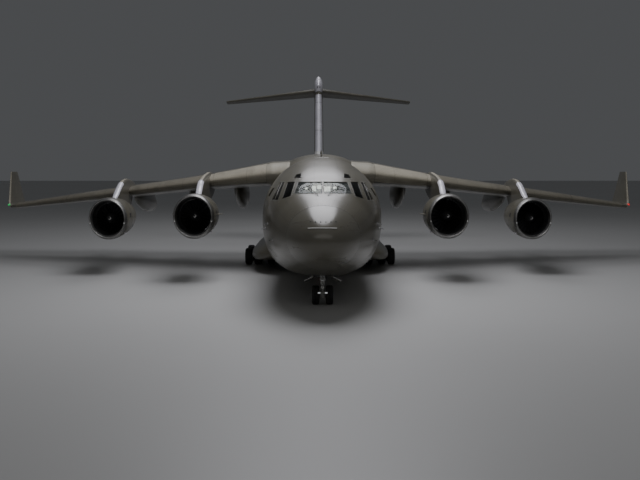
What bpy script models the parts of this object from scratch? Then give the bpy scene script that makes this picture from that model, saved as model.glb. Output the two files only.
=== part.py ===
# Military transport plane at half its real size: four engines, high wing, T-tail, parked on its gear.
# Every size and place below is the real aircraft's, in metres, and SCALE turns it into the model's.
# x is across (port is positive), s runs aft from the nose tip, z is the height above the ground.

import bpy
import bmesh
from math import copysign, cos, hypot, pi, radians, sin, sqrt, tan
from mathutils import Vector

for old in list(bpy.data.objects):
    bpy.data.objects.remove(old, do_unlink=True)

# Driving dimensions
SCALE = 0.5                # model to real size
LENGTH = 53.04             # nose tip to the stabiliser's tips
REST = 0.0006              # gap between fixed pieces that touch
SEAT = 0.0016              # gap between curved pieces that sit on each other
CLEAR = 0.016              # gap between pieces that move past each other
WALL = 0.18                # skin and frames of the hull
AFT_WALL = 0.12            # and of the lighter hull behind the ramp hinge
HULL_SIDES = 24
WHEEL_SIDES = 16
ENGINE_SIDES = 16
PIN_SIDES = 20
HOLE_SIDES = 24            # of the holes that axles turn in
NOSE_STEPS = 5             # facets round the front of a control surface
SIDES = (("port", 1), ("starboard", -1))

# Hull sections: s, crown height, keel height, half width, squareness above and below the widest line
HULL = (
    (0.00, 3.80, 3.80, 0.00, 2.0, 2.0),
    (0.15, 4.28, 3.30, 0.55, 2.0, 2.0),
    (0.60, 4.75, 2.80, 1.10, 2.0, 2.0),
    (1.75, 5.42, 2.28, 1.83, 2.1, 2.0),
    (3.00, 5.98, 1.98, 2.38, 2.4, 2.1),
    (3.90, 6.55, 1.76, 2.70, 2.4, 2.1),
    (6.50, 7.42, 1.32, 3.20, 2.2, 2.3),
    (9.00, 7.88, 1.14, 3.40, 2.0, 2.7),
    (11.5, 7.98, 1.12, 3.43, 2.0, 2.8),
    (33.2, 7.98, 1.12, 3.43, 2.0, 2.8),
    (38.0, 7.95, 2.25, 3.20, 2.0, 2.8),
    (42.0, 7.85, 3.60, 2.60, 2.0, 2.4),
    (45.5, 7.62, 4.90, 1.75, 2.0, 2.0),
    (48.0, 7.20, 5.90, 0.80, 2.0, 2.0),
    (48.7, 6.75, 6.55, 0.08, 2.0, 2.0),
)
RADOME_END = 1.75
FORWARD_END = 10.4
CENTRE_END = 34.0
SHELL_END = 45.6
# Stations where each length of the hull is drawn
FORWARD_STATIONS = (RADOME_END, 2.4, 3.0, 3.6, 4.3, 5.2, 6.5, 8.2, FORWARD_END)
CENTRE_STATIONS = (FORWARD_END, 11.5, 33.2, CENTRE_END)
AFT_STATIONS = (CENTRE_END, 36.0, 38.0, 40.0, 42.0, 44.0, SHELL_END)
CONE_STATIONS = (SHELL_END, 46.8, 48.0, 48.7)
FLOOR_Z = 1.75             # top of the cargo floor
FLOOR_START = 6.65
DECK_Z = 4.55              # top of the flight deck
DECK_THICK = 0.35
DECK_END = 8.0

# Wing: the leading edge and the hinge line are straight in plan, and the tips hang lower than the roots
ROOT_X = 3.4
TIP_X = 25.0
LEAD_S, LEAD_SLOPE = 17.6, 0.472
WING_Z, WING_DROOP = 6.95, 0.122
HINGE_S, HINGE_SLOPE = 25.7, 0.264
# Wing sections: x, chord, thickness
WING = (
    (3.4, 11.6, 1.75),
    (7.6, 10.24, 1.25),
    (10.5, 9.31, 1.05),
    (18.5, 6.73, 0.80),
    (25.0, 4.55, 0.45),
)
# Section outline: share of the chord and of the half thickness
FOIL = ((0.0, 0.0), (0.02, 0.36), (0.10, 0.76), (0.32, 1.0), (0.55, 0.90), (0.70, 0.66), (1.0, 0.035))

# Winglet sections: x, leading edge s, z, chord, thickness, roll in degrees
WINGLET = (
    (25.00, 27.80, 4.31, 4.55, 0.45, 0),
    (25.34, 28.30, 4.42, 4.15, 0.36, 40),
    (25.55, 28.90, 4.85, 3.40, 0.28, 74),
    (25.87, 30.35, 7.10, 1.45, 0.12, 82),
)

# Engines: name, x, z, s of the intake lip, pylon's rising edge as s, z, and the pylon's rear edge from the wing's
# leading edge; behind the outer pylon lies a flap fairing
ENGINES = (
    ("inner", 8.04, 4.27, 13.0, ((15.2, 5.60), (16.6, 6.50), (20.6, 7.05)),
     ((2.4, 0.62), (4.4, -0.2), (3.8, -0.72))),
    ("outer", 14.46, 3.90, 17.0, ((19.1, 5.34), (21.0, 6.30), (22.9, 6.57)),
     ((2.4, 0.62), (3.2, 0.1), (1.45, -0.40), (1.05, -0.72))),
)
# Cowl: distance behind the lip, radius, and how much taller than wide
COWL_OUTSIDE = ((0.0, 1.18, 1.09), (0.12, 1.27, 1.09), (0.5, 1.33, 1.08), (1.6, 1.36, 1.03), (2.8, 1.30, 1.0),
                (3.9, 1.12, 1.0))
COWL_INSIDE = ((3.88, 1.09, 1.0), (2.8, 1.13, 1.0), (1.1, 1.08, 1.0), (0.4, 1.07, 1.06), (0.1, 1.12, 1.09))
CORE = ((1.65, 0.6), (2.6, 0.84), (3.9, 0.72), (5.3, 0.42), (5.32, 0.26), (5.9, 0.05))
FAN_RADIUS = 1.035
FAN_FRONT, FAN_BACK = 1.15, 1.42
BLADES = 14
FAN_HUB, BLADE_GAP = 0.36, 0.3                 # hub radius, share of the rim that is open
SPINNER = ((0.62, 0.03), (0.72, 0.14), (0.9, 0.25), (1.2, 0.35))
SPINDLE, SPINDLE_END = 0.12, 1.9
STRUTS, STRUT_HALF = (2.0, 2.7), 0.05
PYLON_HALF = 0.2

# Flaps: name, inboard and outboard end along the hinge line (x), pivot's depth below the wing, fairings' x
FLAPS = (
    ("inner", 5.0, 11.4, 2.1, (6.2, 9.8)),
    ("outer", 11.45, 18.4, 1.5, (14.3, 16.9)),
)
FLAP_ANGLE = 35
AILERON = (18.8, 24.2)
# Flap fairing: distance behind the hinge line, top and bottom as a share of its depth, half width
CANOE = ((-3.6, 0.10, 0.26, 0.06), (-2.2, 0.03, 0.62, 0.36), (0.0, 0.0, 0.92, 0.5), (1.8, 0.02, 1.0, 0.5),
         (3.3, 0.40, 0.95, 0.3), (4.2, 0.72, 0.84, 0.04))
CANOE_AT_PIVOT = 0.92
PIVOT_COVER = 0.2          # of fairing below the pivot
FLAP_SKIRT = 1.2           # how far below the hinge line the flap's front face leans away
FLAP_BARREL, FLAP_BARREL_HALF = 0.13, 0.16

# Crown fairing over the wing: s, top, half width
CROWN_FAIRING = ((15.5, 7.75, 0.6), (17.5, 8.15, 2.3), (20.5, 8.35, 2.9), (26.5, 8.3, 2.9), (29.8, 8.1, 2.2),
                 (31.5, 7.75, 0.6))
CROWN_BASE = 6.9

# Tail: fin sections by height, stabiliser sections by x, as leading edge s, chord, thickness
FIN = ((7.2, 36.9, 11.0, 0.95), (15.7, 44.4, 6.5, 0.84))
FIN_HINGE = ((8.6, 45.2), (15.0, 48.6))        # z, s of the rudders' hinge line
RUDDERS = (("lower", 0.03, 0.475), ("upper", 0.525, 0.93))
FIN_BOX = ((39.5, 7.0), (44.2, 7.0), (46.9, 13.0), (44.6, 13.0))       # s, z of the hollow between the spars
FIN_BOX_HALF = 0.17
STABILISER = ((0.0, 44.6, 6.6, 0.75, 15.3), (9.905, 50.1, 2.94, 0.30, 14.64))   # with the height last
TAIL_HINGE_SHARE = 0.70
ELEVATOR = (1.3, 9.3)
# Bullet fairing on the fin: s, half height, half width
BULLET = ((43.6, 0.05, 0.04), (44.2, 0.72, 0.34), (45.2, 1.12, 0.45), (48.0, 1.0, 0.44), (50.4, 0.55, 0.3),
          (51.6, 0.06, 0.05))
BULLET_Z = 15.67
RUDDER_NOSE = (0.335, 0.045)                   # radius at the foot, and what it loses to the top
ELEVATOR_NOSE = (0.235, 0.112)
AILERON_NOSE = (0.265, 0.17)
CONTROL_PIN, CONTROL_PIN_LENGTH = 0.04, 0.1

# Gear
MAIN_AXLES = (("front", 24.05), ("rear", 26.6))
MAIN_TYRES = (5.45, 4.75, 3.75)
MAIN_RADIUS, MAIN_WIDTH = 0.635, 0.53
MAIN_AXLE_ENDS = (3.45, 5.75)
STRUT_X = 4.25
AXLE = 0.10
HUB_HALF, HUB_RADIUS, MAIN_STRUT = 0.18, 0.22, 0.16
NOSE_S, NOSE_RADIUS, NOSE_WIDTH, NOSE_TYRE_X = 5.24, 0.51, 0.40, 0.37
NOSE_LEG, NOSE_LEG_END, NOSE_PISTON = 0.17, 1.30, 0.09
NOSE_COLLAR, NOSE_HUB = 0.12, 0.14
BAY_LINER = 0.06
BAY_HALF, BAY_S, BAY_ROOF = 0.55, (4.25, 6.5), 2.9
MAIN_BAY = (3.35, 23.3, 27.4, 1.6)             # inner x, front s, rear s, roof z
MAIN_BAY_STEP = (4.43, 1.34)                   # the x where the roof steps down, and its height outside it
# Sponson: s, share of its full section
SPONSON = ((16.8, 0.06), (17.5, 0.50), (19.0, 0.80), (21.0, 0.95), (23.0, 1.0), (29.5, 1.0), (32.5, 0.72),
           (34.6, 0.35), (35.5, 0.06))
SPONSON_SECTION = ((2.2, 3.2), (3.3, 2.75), (4.0, 2.2), (4.4, 1.86), (4.75, 1.6), (4.97, 1.4), (5.06, 1.18),
                   (5.04, 0.92), (4.8, 0.74), (3.9, 0.70), (1.6, 0.70))
SPONSON_CORE = (2.6, 1.7)                      # the section shrinks towards this x, z

# Doors
RAMP_END = 40.0
DOOR_END = 44.4
RAMP_PLAN = ((34.0, 2.2), (40.0, 2.2), (43.5, 0.85), (44.4, 0.85))     # s, half width of the opening
UNDER_SKIN = 0.5           # how far a door's blank reaches below the skin that trims it
CARGO_DOOR_GAP = 0.045
DOOR_LEAN = 30             # of the faces where ramp and cargo door meet, so that each can swing away
RAMP_THICK = 0.5
CARGO_DOOR_THICK = 0.34
CARGO_DOOR_ANGLE = 35
RAMP_HINGE_UP, CARGO_HINGE_UP = 0.03, 0.12     # above the keel line
BARREL = 0.05                                  # radius of the doors' hinge barrels
CREW_DOOR = (7.6, 8.5, 2.1, 3.95)              # s, s, z, z
PARA_DOOR = (35.9, 36.9, 3.0, 5.0)
# Windows seen from the front: x, z of the corners, and how far aft the cut runs
PANES = (
    (((0.035, 5.98), (1.48, 5.95), (1.27, 6.55), (0.035, 6.57)), 4.3),
    (((1.63, 5.84), (2.09, 5.68), (1.85, 6.54), (1.42, 6.56)), 5.7),
    (((2.30, 5.62), (2.66, 5.60), (2.29, 6.50), (2.00, 6.53)), 7.0),
    (((1.10, 6.74), (1.50, 6.72), (1.40, 6.92), (1.14, 6.98)), 6.0),
)
SIDE_PANE = (5.9, 6.5, 5.75, 6.2)


# Helpers

def at(x, s, z):
    return Vector((x, s - LENGTH / 2, z)) * SCALE


def paint(name, colour, roughness, metallic=0.0):
    made = bpy.data.materials.new(name)
    made.use_nodes = True
    shader = made.node_tree.nodes["Principled BSDF"]
    shader.inputs["Base Color"].default_value = (*colour, 1)
    shader.inputs["Roughness"].default_value = roughness
    shader.inputs["Metallic"].default_value = metallic
    return made


GREY = paint("warm grey paint", (0.17, 0.16, 0.135), 0.4)
FLOOR = paint("cargo floor", (0.12, 0.12, 0.12), 0.6)
DARK = paint("dark metal", (0.05, 0.05, 0.055), 0.45, 0.8)
GLASS = paint("cockpit glass", (0.03, 0.035, 0.04), 0.08)
TYRE = paint("tyre rubber", (0.02, 0.02, 0.02), 0.85)
STEEL = paint("gear white", (0.55, 0.56, 0.56), 0.35)


def add(name, bm, material=None):
    """An object from a bmesh; without a material it is a cutter or a guide."""
    bmesh.ops.recalc_face_normals(bm, faces=bm.faces)
    mesh = bpy.data.meshes.new(name)
    bm.to_mesh(mesh)
    bm.free()
    made = bpy.data.objects.new(name, mesh)
    bpy.context.scene.collection.objects.link(made)
    if material:
        mesh.materials.append(material)
        mesh.shade_smooth()
        mesh.set_sharp_from_angle(angle=radians(32))
    else:
        made.hide_render = True
        made.display_type = "WIRE"
    return made


def quad(bm, a, b, c, d, forward):
    """One flat face, or two triangles split the same way however the rings are ordered."""
    normal = (b.co - a.co).cross(d.co - a.co)
    if normal.length == 0 or abs(normal.normalized().dot(c.co - a.co)) > 1e-6:
        faces = ((a, b, c), (a, c, d)) if forward else ((a, b, d), (b, c, d))
        for face in faces:
            bm.faces.new(face)
    else:
        bm.faces.new((a, b, c, d))


def loft(name, rings, material=None, loop=False):
    """Skin a row of rings of points; a ring of one point is a pole, and a loop joins both ends."""
    bm = bmesh.new()
    rows = [[bm.verts.new(at(*point)) for point in ring] for ring in rings]
    pairs = list(zip(rows, rows[1:]))
    if loop:
        pairs.append((rows[-1], rows[0]))
    for a, b in pairs:
        count = max(len(a), len(b))
        for i in range(count):
            j = (i + 1) % count
            if len(a) == 1:
                bm.faces.new((a[0], b[j], b[i]))
            elif len(b) == 1:
                bm.faces.new((a[i], a[j], b[0]))
            else:
                quad(bm, a[i], a[j], b[j], b[i], a[0].co.y <= b[0].co.y)
    if not loop:
        for end in (rows[0], rows[-1]):
            if len(end) > 1:
                bm.faces.new(end)
    return add(name, bm, material)


def combine(target, other, operation):
    step = target.modifiers.new(operation.lower(), "BOOLEAN")
    step.operation = operation
    step.object = other


def carve(target, *others):
    for other in others:
        combine(target, other, "DIFFERENCE")


def fuse(target, *others):
    for other in others:
        combine(target, other, "UNION")


def keep(target, other):
    combine(target, other, "INTERSECT")


def block(name, x, s, z, material=None):
    """A box from pairs of limits."""
    corners = ((x[0], z[0]), (x[1], z[0]), (x[1], z[1]), (x[0], z[1]))
    return prism(name, corners, s, material)


def prism(name, outline, s, material=None):
    """A front view outline of x, z points between two stations."""
    return loft(name, [[(x, q, z) for x, z in outline] for q in s], material)


def slab(name, outline, x, material=None):
    """A side view outline of s, z points between two planes across."""
    return loft(name, [[(q, s, z) for s, z in outline] for q in x], material)


def rod(name, a, b, radius, sides, material=None, end_radius=None):
    """A round bar between two points, each an x, s, z."""
    a, b = Vector(a), Vector(b)
    end_radius = end_radius or radius
    turn = (b - a).to_track_quat("Z", "Y")
    rings = []
    for centre, r in ((a, radius), (b, end_radius)):
        ring = [centre + turn @ Vector((r * cos(2 * pi * i / sides), r * sin(2 * pi * i / sides), 0))
                for i in range(sides)]
        rings.append([tuple(point) for point in ring])
    return loft(name, rings, material)


def hole_radius(radius):
    """A faceted hole that a faceted pin of this radius turns in."""
    return radius / cos(pi / PIN_SIDES) + REST


def smooth(table, s):
    """The table's values at s, by a cubic that never overshoots, spaced by the root of s for a round nose."""
    place = [sqrt(row[0]) for row in table]
    u = min(max(sqrt(max(s, 0)), place[0]), place[-1])
    i = max(k for k in range(len(table) - 1) if place[k] <= u or k == 0)
    width = place[i + 1] - place[i]
    t = (u - place[i]) / width

    def slope(k, column):
        if k == 0 or k == len(table) - 1:
            near = min(k, len(table) - 2)
            return (table[near + 1][column] - table[near][column]) / (place[near + 1] - place[near])
        before = (table[k][column] - table[k - 1][column]) / (place[k] - place[k - 1])
        after = (table[k + 1][column] - table[k][column]) / (place[k + 1] - place[k])
        return 0.0 if before * after <= 0 else 2 * before * after / (before + after)

    values = []
    for column in range(1, len(table[0])):
        a, b = table[i][column], table[i + 1][column]
        m, n = slope(i, column) * width, slope(i + 1, column) * width
        values.append((2 * t**3 - 3 * t**2 + 1) * a + (t**3 - 2 * t**2 + t) * m
                      + (3 * t**2 - 2 * t**3) * b + (t**3 - t**2) * n)
    return values


def keel_z(s):
    return smooth(HULL, s)[1]


def hull_ring(s, inset=0.0):
    """The hull's section at s, drawn in by an inset."""
    crown, keel, half, above, below = smooth(HULL, s)
    middle, rise = (crown + keel) / 2, (crown - keel) / 2 - inset
    ring = []
    for i in range(HULL_SIDES):
        c, q = cos(2 * pi * i / HULL_SIDES), sin(2 * pi * i / HULL_SIDES)
        power = 2 / (above if q > 0 else below)
        across, up = copysign(abs(c)**power, c), copysign(abs(q)**power, q)
        ring.append(((half - inset) * across, s, middle + rise * up))
    return ring


def hull_solid(name, stations, inset=0.0, material=None):
    return loft(name, [hull_ring(s, inset) for s in stations], material)


def hull_tube(name, stations, wall, material=None, outset=0.0):
    outside = [hull_ring(s, -outset) for s in stations]
    inside = [hull_ring(s, wall) for s in reversed(stations)]
    return loft(name, outside + inside, material, loop=True)


def foil(chord, thickness, grow=0.0):
    """Section points as distance aft and height, from the trailing edge over the top and back below."""
    top = [(share * chord, lift * thickness / 2 + grow) for share, lift in FOIL[1:]]
    below = [(aft, -up) for aft, up in top]
    top[-1] = (chord + grow, top[-1][1])
    below[-1] = (chord + grow, below[-1][1])
    return list(reversed(top)) + [(-grow, 0.0)] + below


def lead(x):
    return LEAD_S + LEAD_SLOPE * (abs(x) - ROOT_X)


def wing_z(x):
    return WING_Z - WING_DROOP * (abs(x) - ROOT_X)


def hinge_point(x):
    """A point of the flaps' and aileron's line, in the middle of the wing."""
    return (x, HINGE_S + HINGE_SLOPE * (abs(x) - ROOT_X), wing_z(x))


def wing_rings(side, grow=0.0):
    rings = []
    for x, chord, thickness in WING:
        rings.append([(side * x, lead(x) + aft, wing_z(x) + up) for aft, up in foil(chord, thickness, grow)])
    return rings


class Hinge:
    """A hinge line: an origin, the direction along it, up, and aft, and the pieces cut in that frame."""

    def __init__(self, origin, along, up=(0, 0, 1)):
        self.origin = Vector(origin)
        self.along = Vector(along).normalized()
        self.aft = Vector(up).cross(self.along).normalized()
        if self.aft.y < 0:
            self.aft.negate()
        self.up = self.aft.cross(self.along).normalized()
        if self.up.dot(Vector(up)) < 0:
            self.up.negate()

    def reach(self, point):
        """How far along the hinge a point lies."""
        return (Vector(point) - self.origin).dot(self.along)

    def point(self, along, aft, up):
        return tuple(self.origin + self.along * along + self.aft * aft + self.up * up)

    def sweep(self, name, outlines, along):
        """Outlines of aft, up points, one at each place along the hinge."""
        places = zip(along, outlines)
        return loft(name, [[self.point(q, aft, up) for aft, up in outline] for q, outline in places])

    def cone(self, name, along, radii, sides=PIN_SIDES):
        rings = []
        for q, r in zip(along, radii):
            rings.append([self.point(q, r * cos(2 * pi * i / sides), r * sin(2 * pi * i / sides))
                          for i in range(sides)])
        return loft(name, rings)


def round_front(radius, front, reach):
    """Outline of aft, up points: a half round nose on the hinge line, and everything behind it."""
    tall = 3.0
    turns = [pi * i / NOSE_STEPS for i in range(1, NOSE_STEPS)]
    nose = [(-radius * sin(a), radius * cos(a)) for a in turns]
    above = [(reach, tall), (front, tall), (front, radius)]
    below = [(front, -radius), (front, -tall), (reach, -tall)]
    return above + nose + below


def piece(made):
    """Turn a cutter into a piece of the aircraft in its grey paint."""
    made.hide_render = False
    made.display_type = "TEXTURED"
    made.data.materials.append(GREY)
    return made


def control_surface(name, host, guide, hinge, along, radii, reach):
    """A surface cut from its host behind a hinge line inside it, with a round nose and a pin at each end."""
    surface = piece(hinge.sweep(name, [round_front(r, 0.0, reach) for r in radii], along))
    keep(surface, guide)
    pins = (along[0] - CONTROL_PIN_LENGTH, along[1] + CONTROL_PIN_LENGTH)
    fuse(surface, hinge.cone(name + "_pins", pins, (CONTROL_PIN, CONTROL_PIN)))
    grown = [radius / cos(pi / NOSE_STEPS / 2) + CLEAR for radius in radii]
    wide = (along[0] - CLEAR, along[1] + CLEAR)
    carve(host, hinge.sweep(name + "_room", [round_front(r, -CLEAR / 2, reach) for r in grown], wide),
          hinge.cone(name + "_pin_room", (pins[0] - REST, pins[1] + REST),
                     (hole_radius(CONTROL_PIN), hole_radius(CONTROL_PIN))))
    return surface


# Hull

def hull():
    tip = [[(0.0, 0.0, HULL[0][1])]] + [hull_ring(s) for s in (0.06, 0.25, 0.6, 1.1, RADOME_END - REST)]
    loft("radome", tip, GREY)
    forward = hull_tube("forward_fuselage", (*FORWARD_STATIONS[:-1], FORWARD_END - REST), WALL, GREY)
    centre = hull_tube("centre_fuselage", (*CENTRE_STATIONS[:-1], CENTRE_END - REST), WALL, GREY)
    aft = hull_tube("aft_fuselage", (*AFT_STATIONS[:-1], SHELL_END - REST), AFT_WALL, GREY)
    cone = hull_solid("tail_cone", CONE_STATIONS, material=GREY)
    carve(cone, hull_solid("cone_room", (SHELL_END - 0.01, CONE_STATIONS[1]), WALL))
    return forward, centre, aft


def windows(forward):
    for side_name, side in SIDES:
        for i, (corners, aft) in enumerate(PANES):
            carve(forward, prism(f"pane_{i}_{side_name}", [(side * x, z) for x, z in corners], (2.0, aft)))
        s0, s1, z0, z1 = SIDE_PANE
        carve(forward, block(f"side_pane_{side_name}", (side * 1.9, side * 4.0), (s0, s1), (z0, z1)))
    # One curved band of glass just inside the skin, from below the sill to above the eyebrow windows
    glass = hull_tube("cockpit_glass", FORWARD_STATIONS[1:-1], WALL + SEAT + 0.05, GLASS, -(WALL + SEAT))
    keep(glass, block("glass_room", (-4, 4), (2.0, 7.2), (5.35, 7.3)))


def decks():
    front, back = 3.4, DECK_END
    deck = block("flight_deck", (-4, 4), (front, back), (DECK_Z - DECK_THICK, DECK_Z), FLOOR)
    fuse(deck, block("bulkhead", (-4, 4), (back - 0.12, back + 0.001), (DECK_Z - 0.1, 7.6)))
    fuse(deck, block("panel", (-1.3, 1.3), (3.45, 3.85), (DECK_Z - 0.1, 5.6)))
    for side in (1, -1):
        x = 0.72 * side
        fuse(deck, block(f"seat_{side}", (x - 0.28, x + 0.28), (4.9, 5.5), (DECK_Z - 0.1, 5.05)),
             block(f"seat_back_{side}", (x - 0.28, x + 0.28), (5.38, 5.5), (5.0, 5.95)))
    keep(deck, hull_solid("deck_room", FORWARD_STATIONS, WALL + SEAT))
    floor = block("cargo_floor", (-4, 4), (FLOOR_START, CENTRE_END - CLEAR), (0.5, FLOOR_Z), FLOOR)
    keep(floor, hull_solid("floor_room", (*FORWARD_STATIONS[6:-1], *CENTRE_STATIONS), WALL + SEAT))


# Wing

def wing(centre):
    def box(name, half, grow, material=None):
        outline = [(LEAD_S + aft, WING_Z + up) for aft, up in foil(*WING[0][1:], grow)]
        return slab(name, outline, (-half, half), material)

    box("wing_centre_section", ROOT_X - REST, 0.0, GREY)
    box_room = box("wing_box_room", ROOT_X, REST)
    carve(centre, box_room)
    rings = []
    for s, top, half in CROWN_FAIRING:
        rise = top - CROWN_BASE
        rings.append([(half * cos(pi * i / 12), s, CROWN_BASE + rise * sin(pi * i / 12)) for i in range(13)])
    fairing = loft("crown_fairing", rings, GREY)
    carve(fairing, hull_solid("fairing_hull", CENTRE_STATIONS, -REST), box_room)
    for side_name, side in SIDES:
        half_wing(side_name, side)


def canoe(name, x, side, depth):
    hinge_s = HINGE_S + HINGE_SLOPE * (x - ROOT_X)
    rings = []
    for aft, top, bottom, half in CANOE:
        upper, lower = wing_z(x) - top * depth, wing_z(x) - bottom * depth
        middle, rise = (upper + lower) / 2, (upper - lower) / 2
        rings.append([(side * x + half * cos(pi * i / 6), hinge_s + aft, middle + rise * sin(pi * i / 6))
                      for i in range(12)])
    return loft(name, rings)


def half_wing(side_name, side):
    rings = wing_rings(side)
    rings[0] = [(side * (ROOT_X + REST), s, z) for x, s, z in rings[0]]
    made = loft(f"wing_{side_name}", rings, GREY)
    guide = loft(f"wing_guide_{side_name}", rings)
    along = (side, HINGE_SLOPE, -WING_DROOP)
    for flap_name, x0, x1, drop, stations in FLAPS:
        for x in stations:
            pod = canoe(f"canoe_{x}_{side_name}", x, side, (drop + PIVOT_COVER) / CANOE_AT_PIVOT)
            fuse(made, pod)
            fuse(guide, pod)
    for flap_name, x0, x1, drop, stations in FLAPS:
        origin = (side * ROOT_X, HINGE_S, WING_Z - drop)
        hinge = Hinge(origin, along)
        ends = tuple(hinge.reach(hinge_point(side * x)) for x in (x0, x1))
        swing = tan(radians(FLAP_ANGLE + 3)) * FLAP_SKIRT
        front = CLEAR / 2
        outline = [(front, 4.0), (front, 0), (front + swing, -FLAP_SKIRT), (9, -FLAP_SKIRT), (9, 4.0)]
        flap = piece(hinge.sweep(f"flap_{flap_name}_{side_name}", (outline, outline), ends))
        keep(flap, guide)
        room = [(-front, 4.2), (-front, -FLAP_SKIRT - 0.2), (9.2, -FLAP_SKIRT - 0.2), (9.2, 4.2)]
        wide = (ends[0] - CLEAR, ends[1] + CLEAR)
        carve(made, hinge.sweep(f"flap_room_{flap_name}_{side_name}", (room, room), wide))
        for x in stations:
            middle = hinge.reach(hinge_point(side * x)) - drop * hinge.along.z
            first, last = middle - FLAP_BARREL_HALF, middle + FLAP_BARREL_HALF
            fuse(flap, hinge.cone(f"barrel_{x}_{side_name}", (first, last), (FLAP_BARREL, FLAP_BARREL)))
            carve(made, hinge.cone(f"barrel_room_{x}_{side_name}", (first - REST, last + REST),
                                   (hole_radius(FLAP_BARREL), hole_radius(FLAP_BARREL))))
    hinge = Hinge((side * ROOT_X, HINGE_S, WING_Z), along)
    ends = tuple(hinge.reach(hinge_point(side * x)) for x in AILERON)
    control_surface(f"aileron_{side_name}", made, guide, hinge, ends, AILERON_NOSE, 6)
    rings = []
    for x, s, z, chord, thickness, roll in WINGLET:
        lean, rise = sin(radians(roll)), cos(radians(roll))
        rings.append([(side * (x - up * lean), s + aft, z + up * rise) for aft, up in foil(chord, thickness)])
    rings[0] = [(side * (TIP_X + REST), s, z) for x, s, z in rings[0]]
    loft(f"winglet_{side_name}", rings, GREY)


# Engines

def engines():
    for side_name, side in SIDES:
        wing_room = loft(f"wing_room_{side_name}", wing_rings(side, SEAT))
        for engine in ENGINES:
            one_engine(engine, side_name, side, wing_room)


def turned(x, s, z, profile, sides=ENGINE_SIDES, grow=0.0):
    """Rings around a fore and aft axis from distance, radius and tallness."""
    rings = []
    for row in profile:
        aft, radius, tall = row if len(row) == 3 else (*row, 1.0)
        rings.append([(x + (radius + grow) * cos(2 * pi * i / sides), s + aft,
                       z + (radius + grow) * tall * sin(2 * pi * i / sides)) for i in range(sides)])
    return rings


def one_engine(engine, side_name, side, wing_room):
    name, x, z, s, edge, rear = engine
    x *= side
    tag = f"{name}_{side_name}"
    nacelle = loft(f"nacelle_{tag}", turned(x, s, z, COWL_OUTSIDE + COWL_INSIDE), GREY, loop=True)
    core = loft(f"core_{tag}", turned(x, s, z, CORE))
    reach = 1.2
    between = (s + STRUTS[0], s + STRUTS[1])
    upright = block(f"struts_a_{tag}", (x - STRUT_HALF, x + STRUT_HALF), between, (z - reach, z + reach))
    across = block(f"struts_b_{tag}", (x - reach, x + reach), between, (z - STRUT_HALF, z + STRUT_HALF))
    fuse(nacelle, core, upright, across)
    bottom = s + SPINDLE_END
    carve(nacelle, rod(f"spindle_room_{tag}", (x, s + 1.5, z), (x, bottom + REST, z),
                       hole_radius(SPINDLE), PIN_SIDES))
    # The fan is one star-shaped slice: each blade is a wide stretch of the rim between two narrow slots
    slot = BLADE_GAP / 2
    corners = ((0.0, FAN_HUB), (slot, FAN_RADIUS), (1 - slot, FAN_RADIUS), (0.999 - slot * 0.4, FAN_HUB))
    ring = []
    for blade in range(BLADES):
        for share, radius in corners:
            a = 2 * pi * (blade + share) / BLADES
            ring.append((cos(a) * radius, sin(a) * radius))
    rings = [[(x + a, q, z + b) for a, b in ring] for q in (s + FAN_FRONT, s + FAN_BACK)]
    fan = loft(f"fan_{tag}", rings, DARK)
    spinner = loft(f"spinner_{tag}", turned(x, s, z, SPINNER, 12))
    spindle = rod(f"spindle_{tag}", (x, s + FAN_BACK - 0.1, z), (x, bottom, z), SPINDLE, PIN_SIDES)
    fuse(fan, spinner, spindle)
    # Pylon: from the cowl's crown, over the leading edge, and aft below the wing
    tip, level = lead(x), wing_z(x)
    outline = [(s + 1.5, z + 1.15), *edge, *((tip + aft, level + up) for aft, up in rear),
               (s + 6.3, z + 0.45), (s + 3.0, z + 0.5)]
    pylon = slab(f"pylon_{tag}", outline, (x - PYLON_HALF, x + PYLON_HALF), GREY)
    filled = [*COWL_OUTSIDE, (3.9 + REST, CORE[2][1], 1.0), *CORE[3:]]
    carve(pylon, wing_room, loft(f"engine_room_{tag}", turned(x, s, z, filled, grow=REST)))


# Tail

def fin_rings(grow=0.0):
    return [[(up, s + aft, z) for aft, up in foil(chord, thick, grow)] for z, s, chord, thick in FIN]


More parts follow.
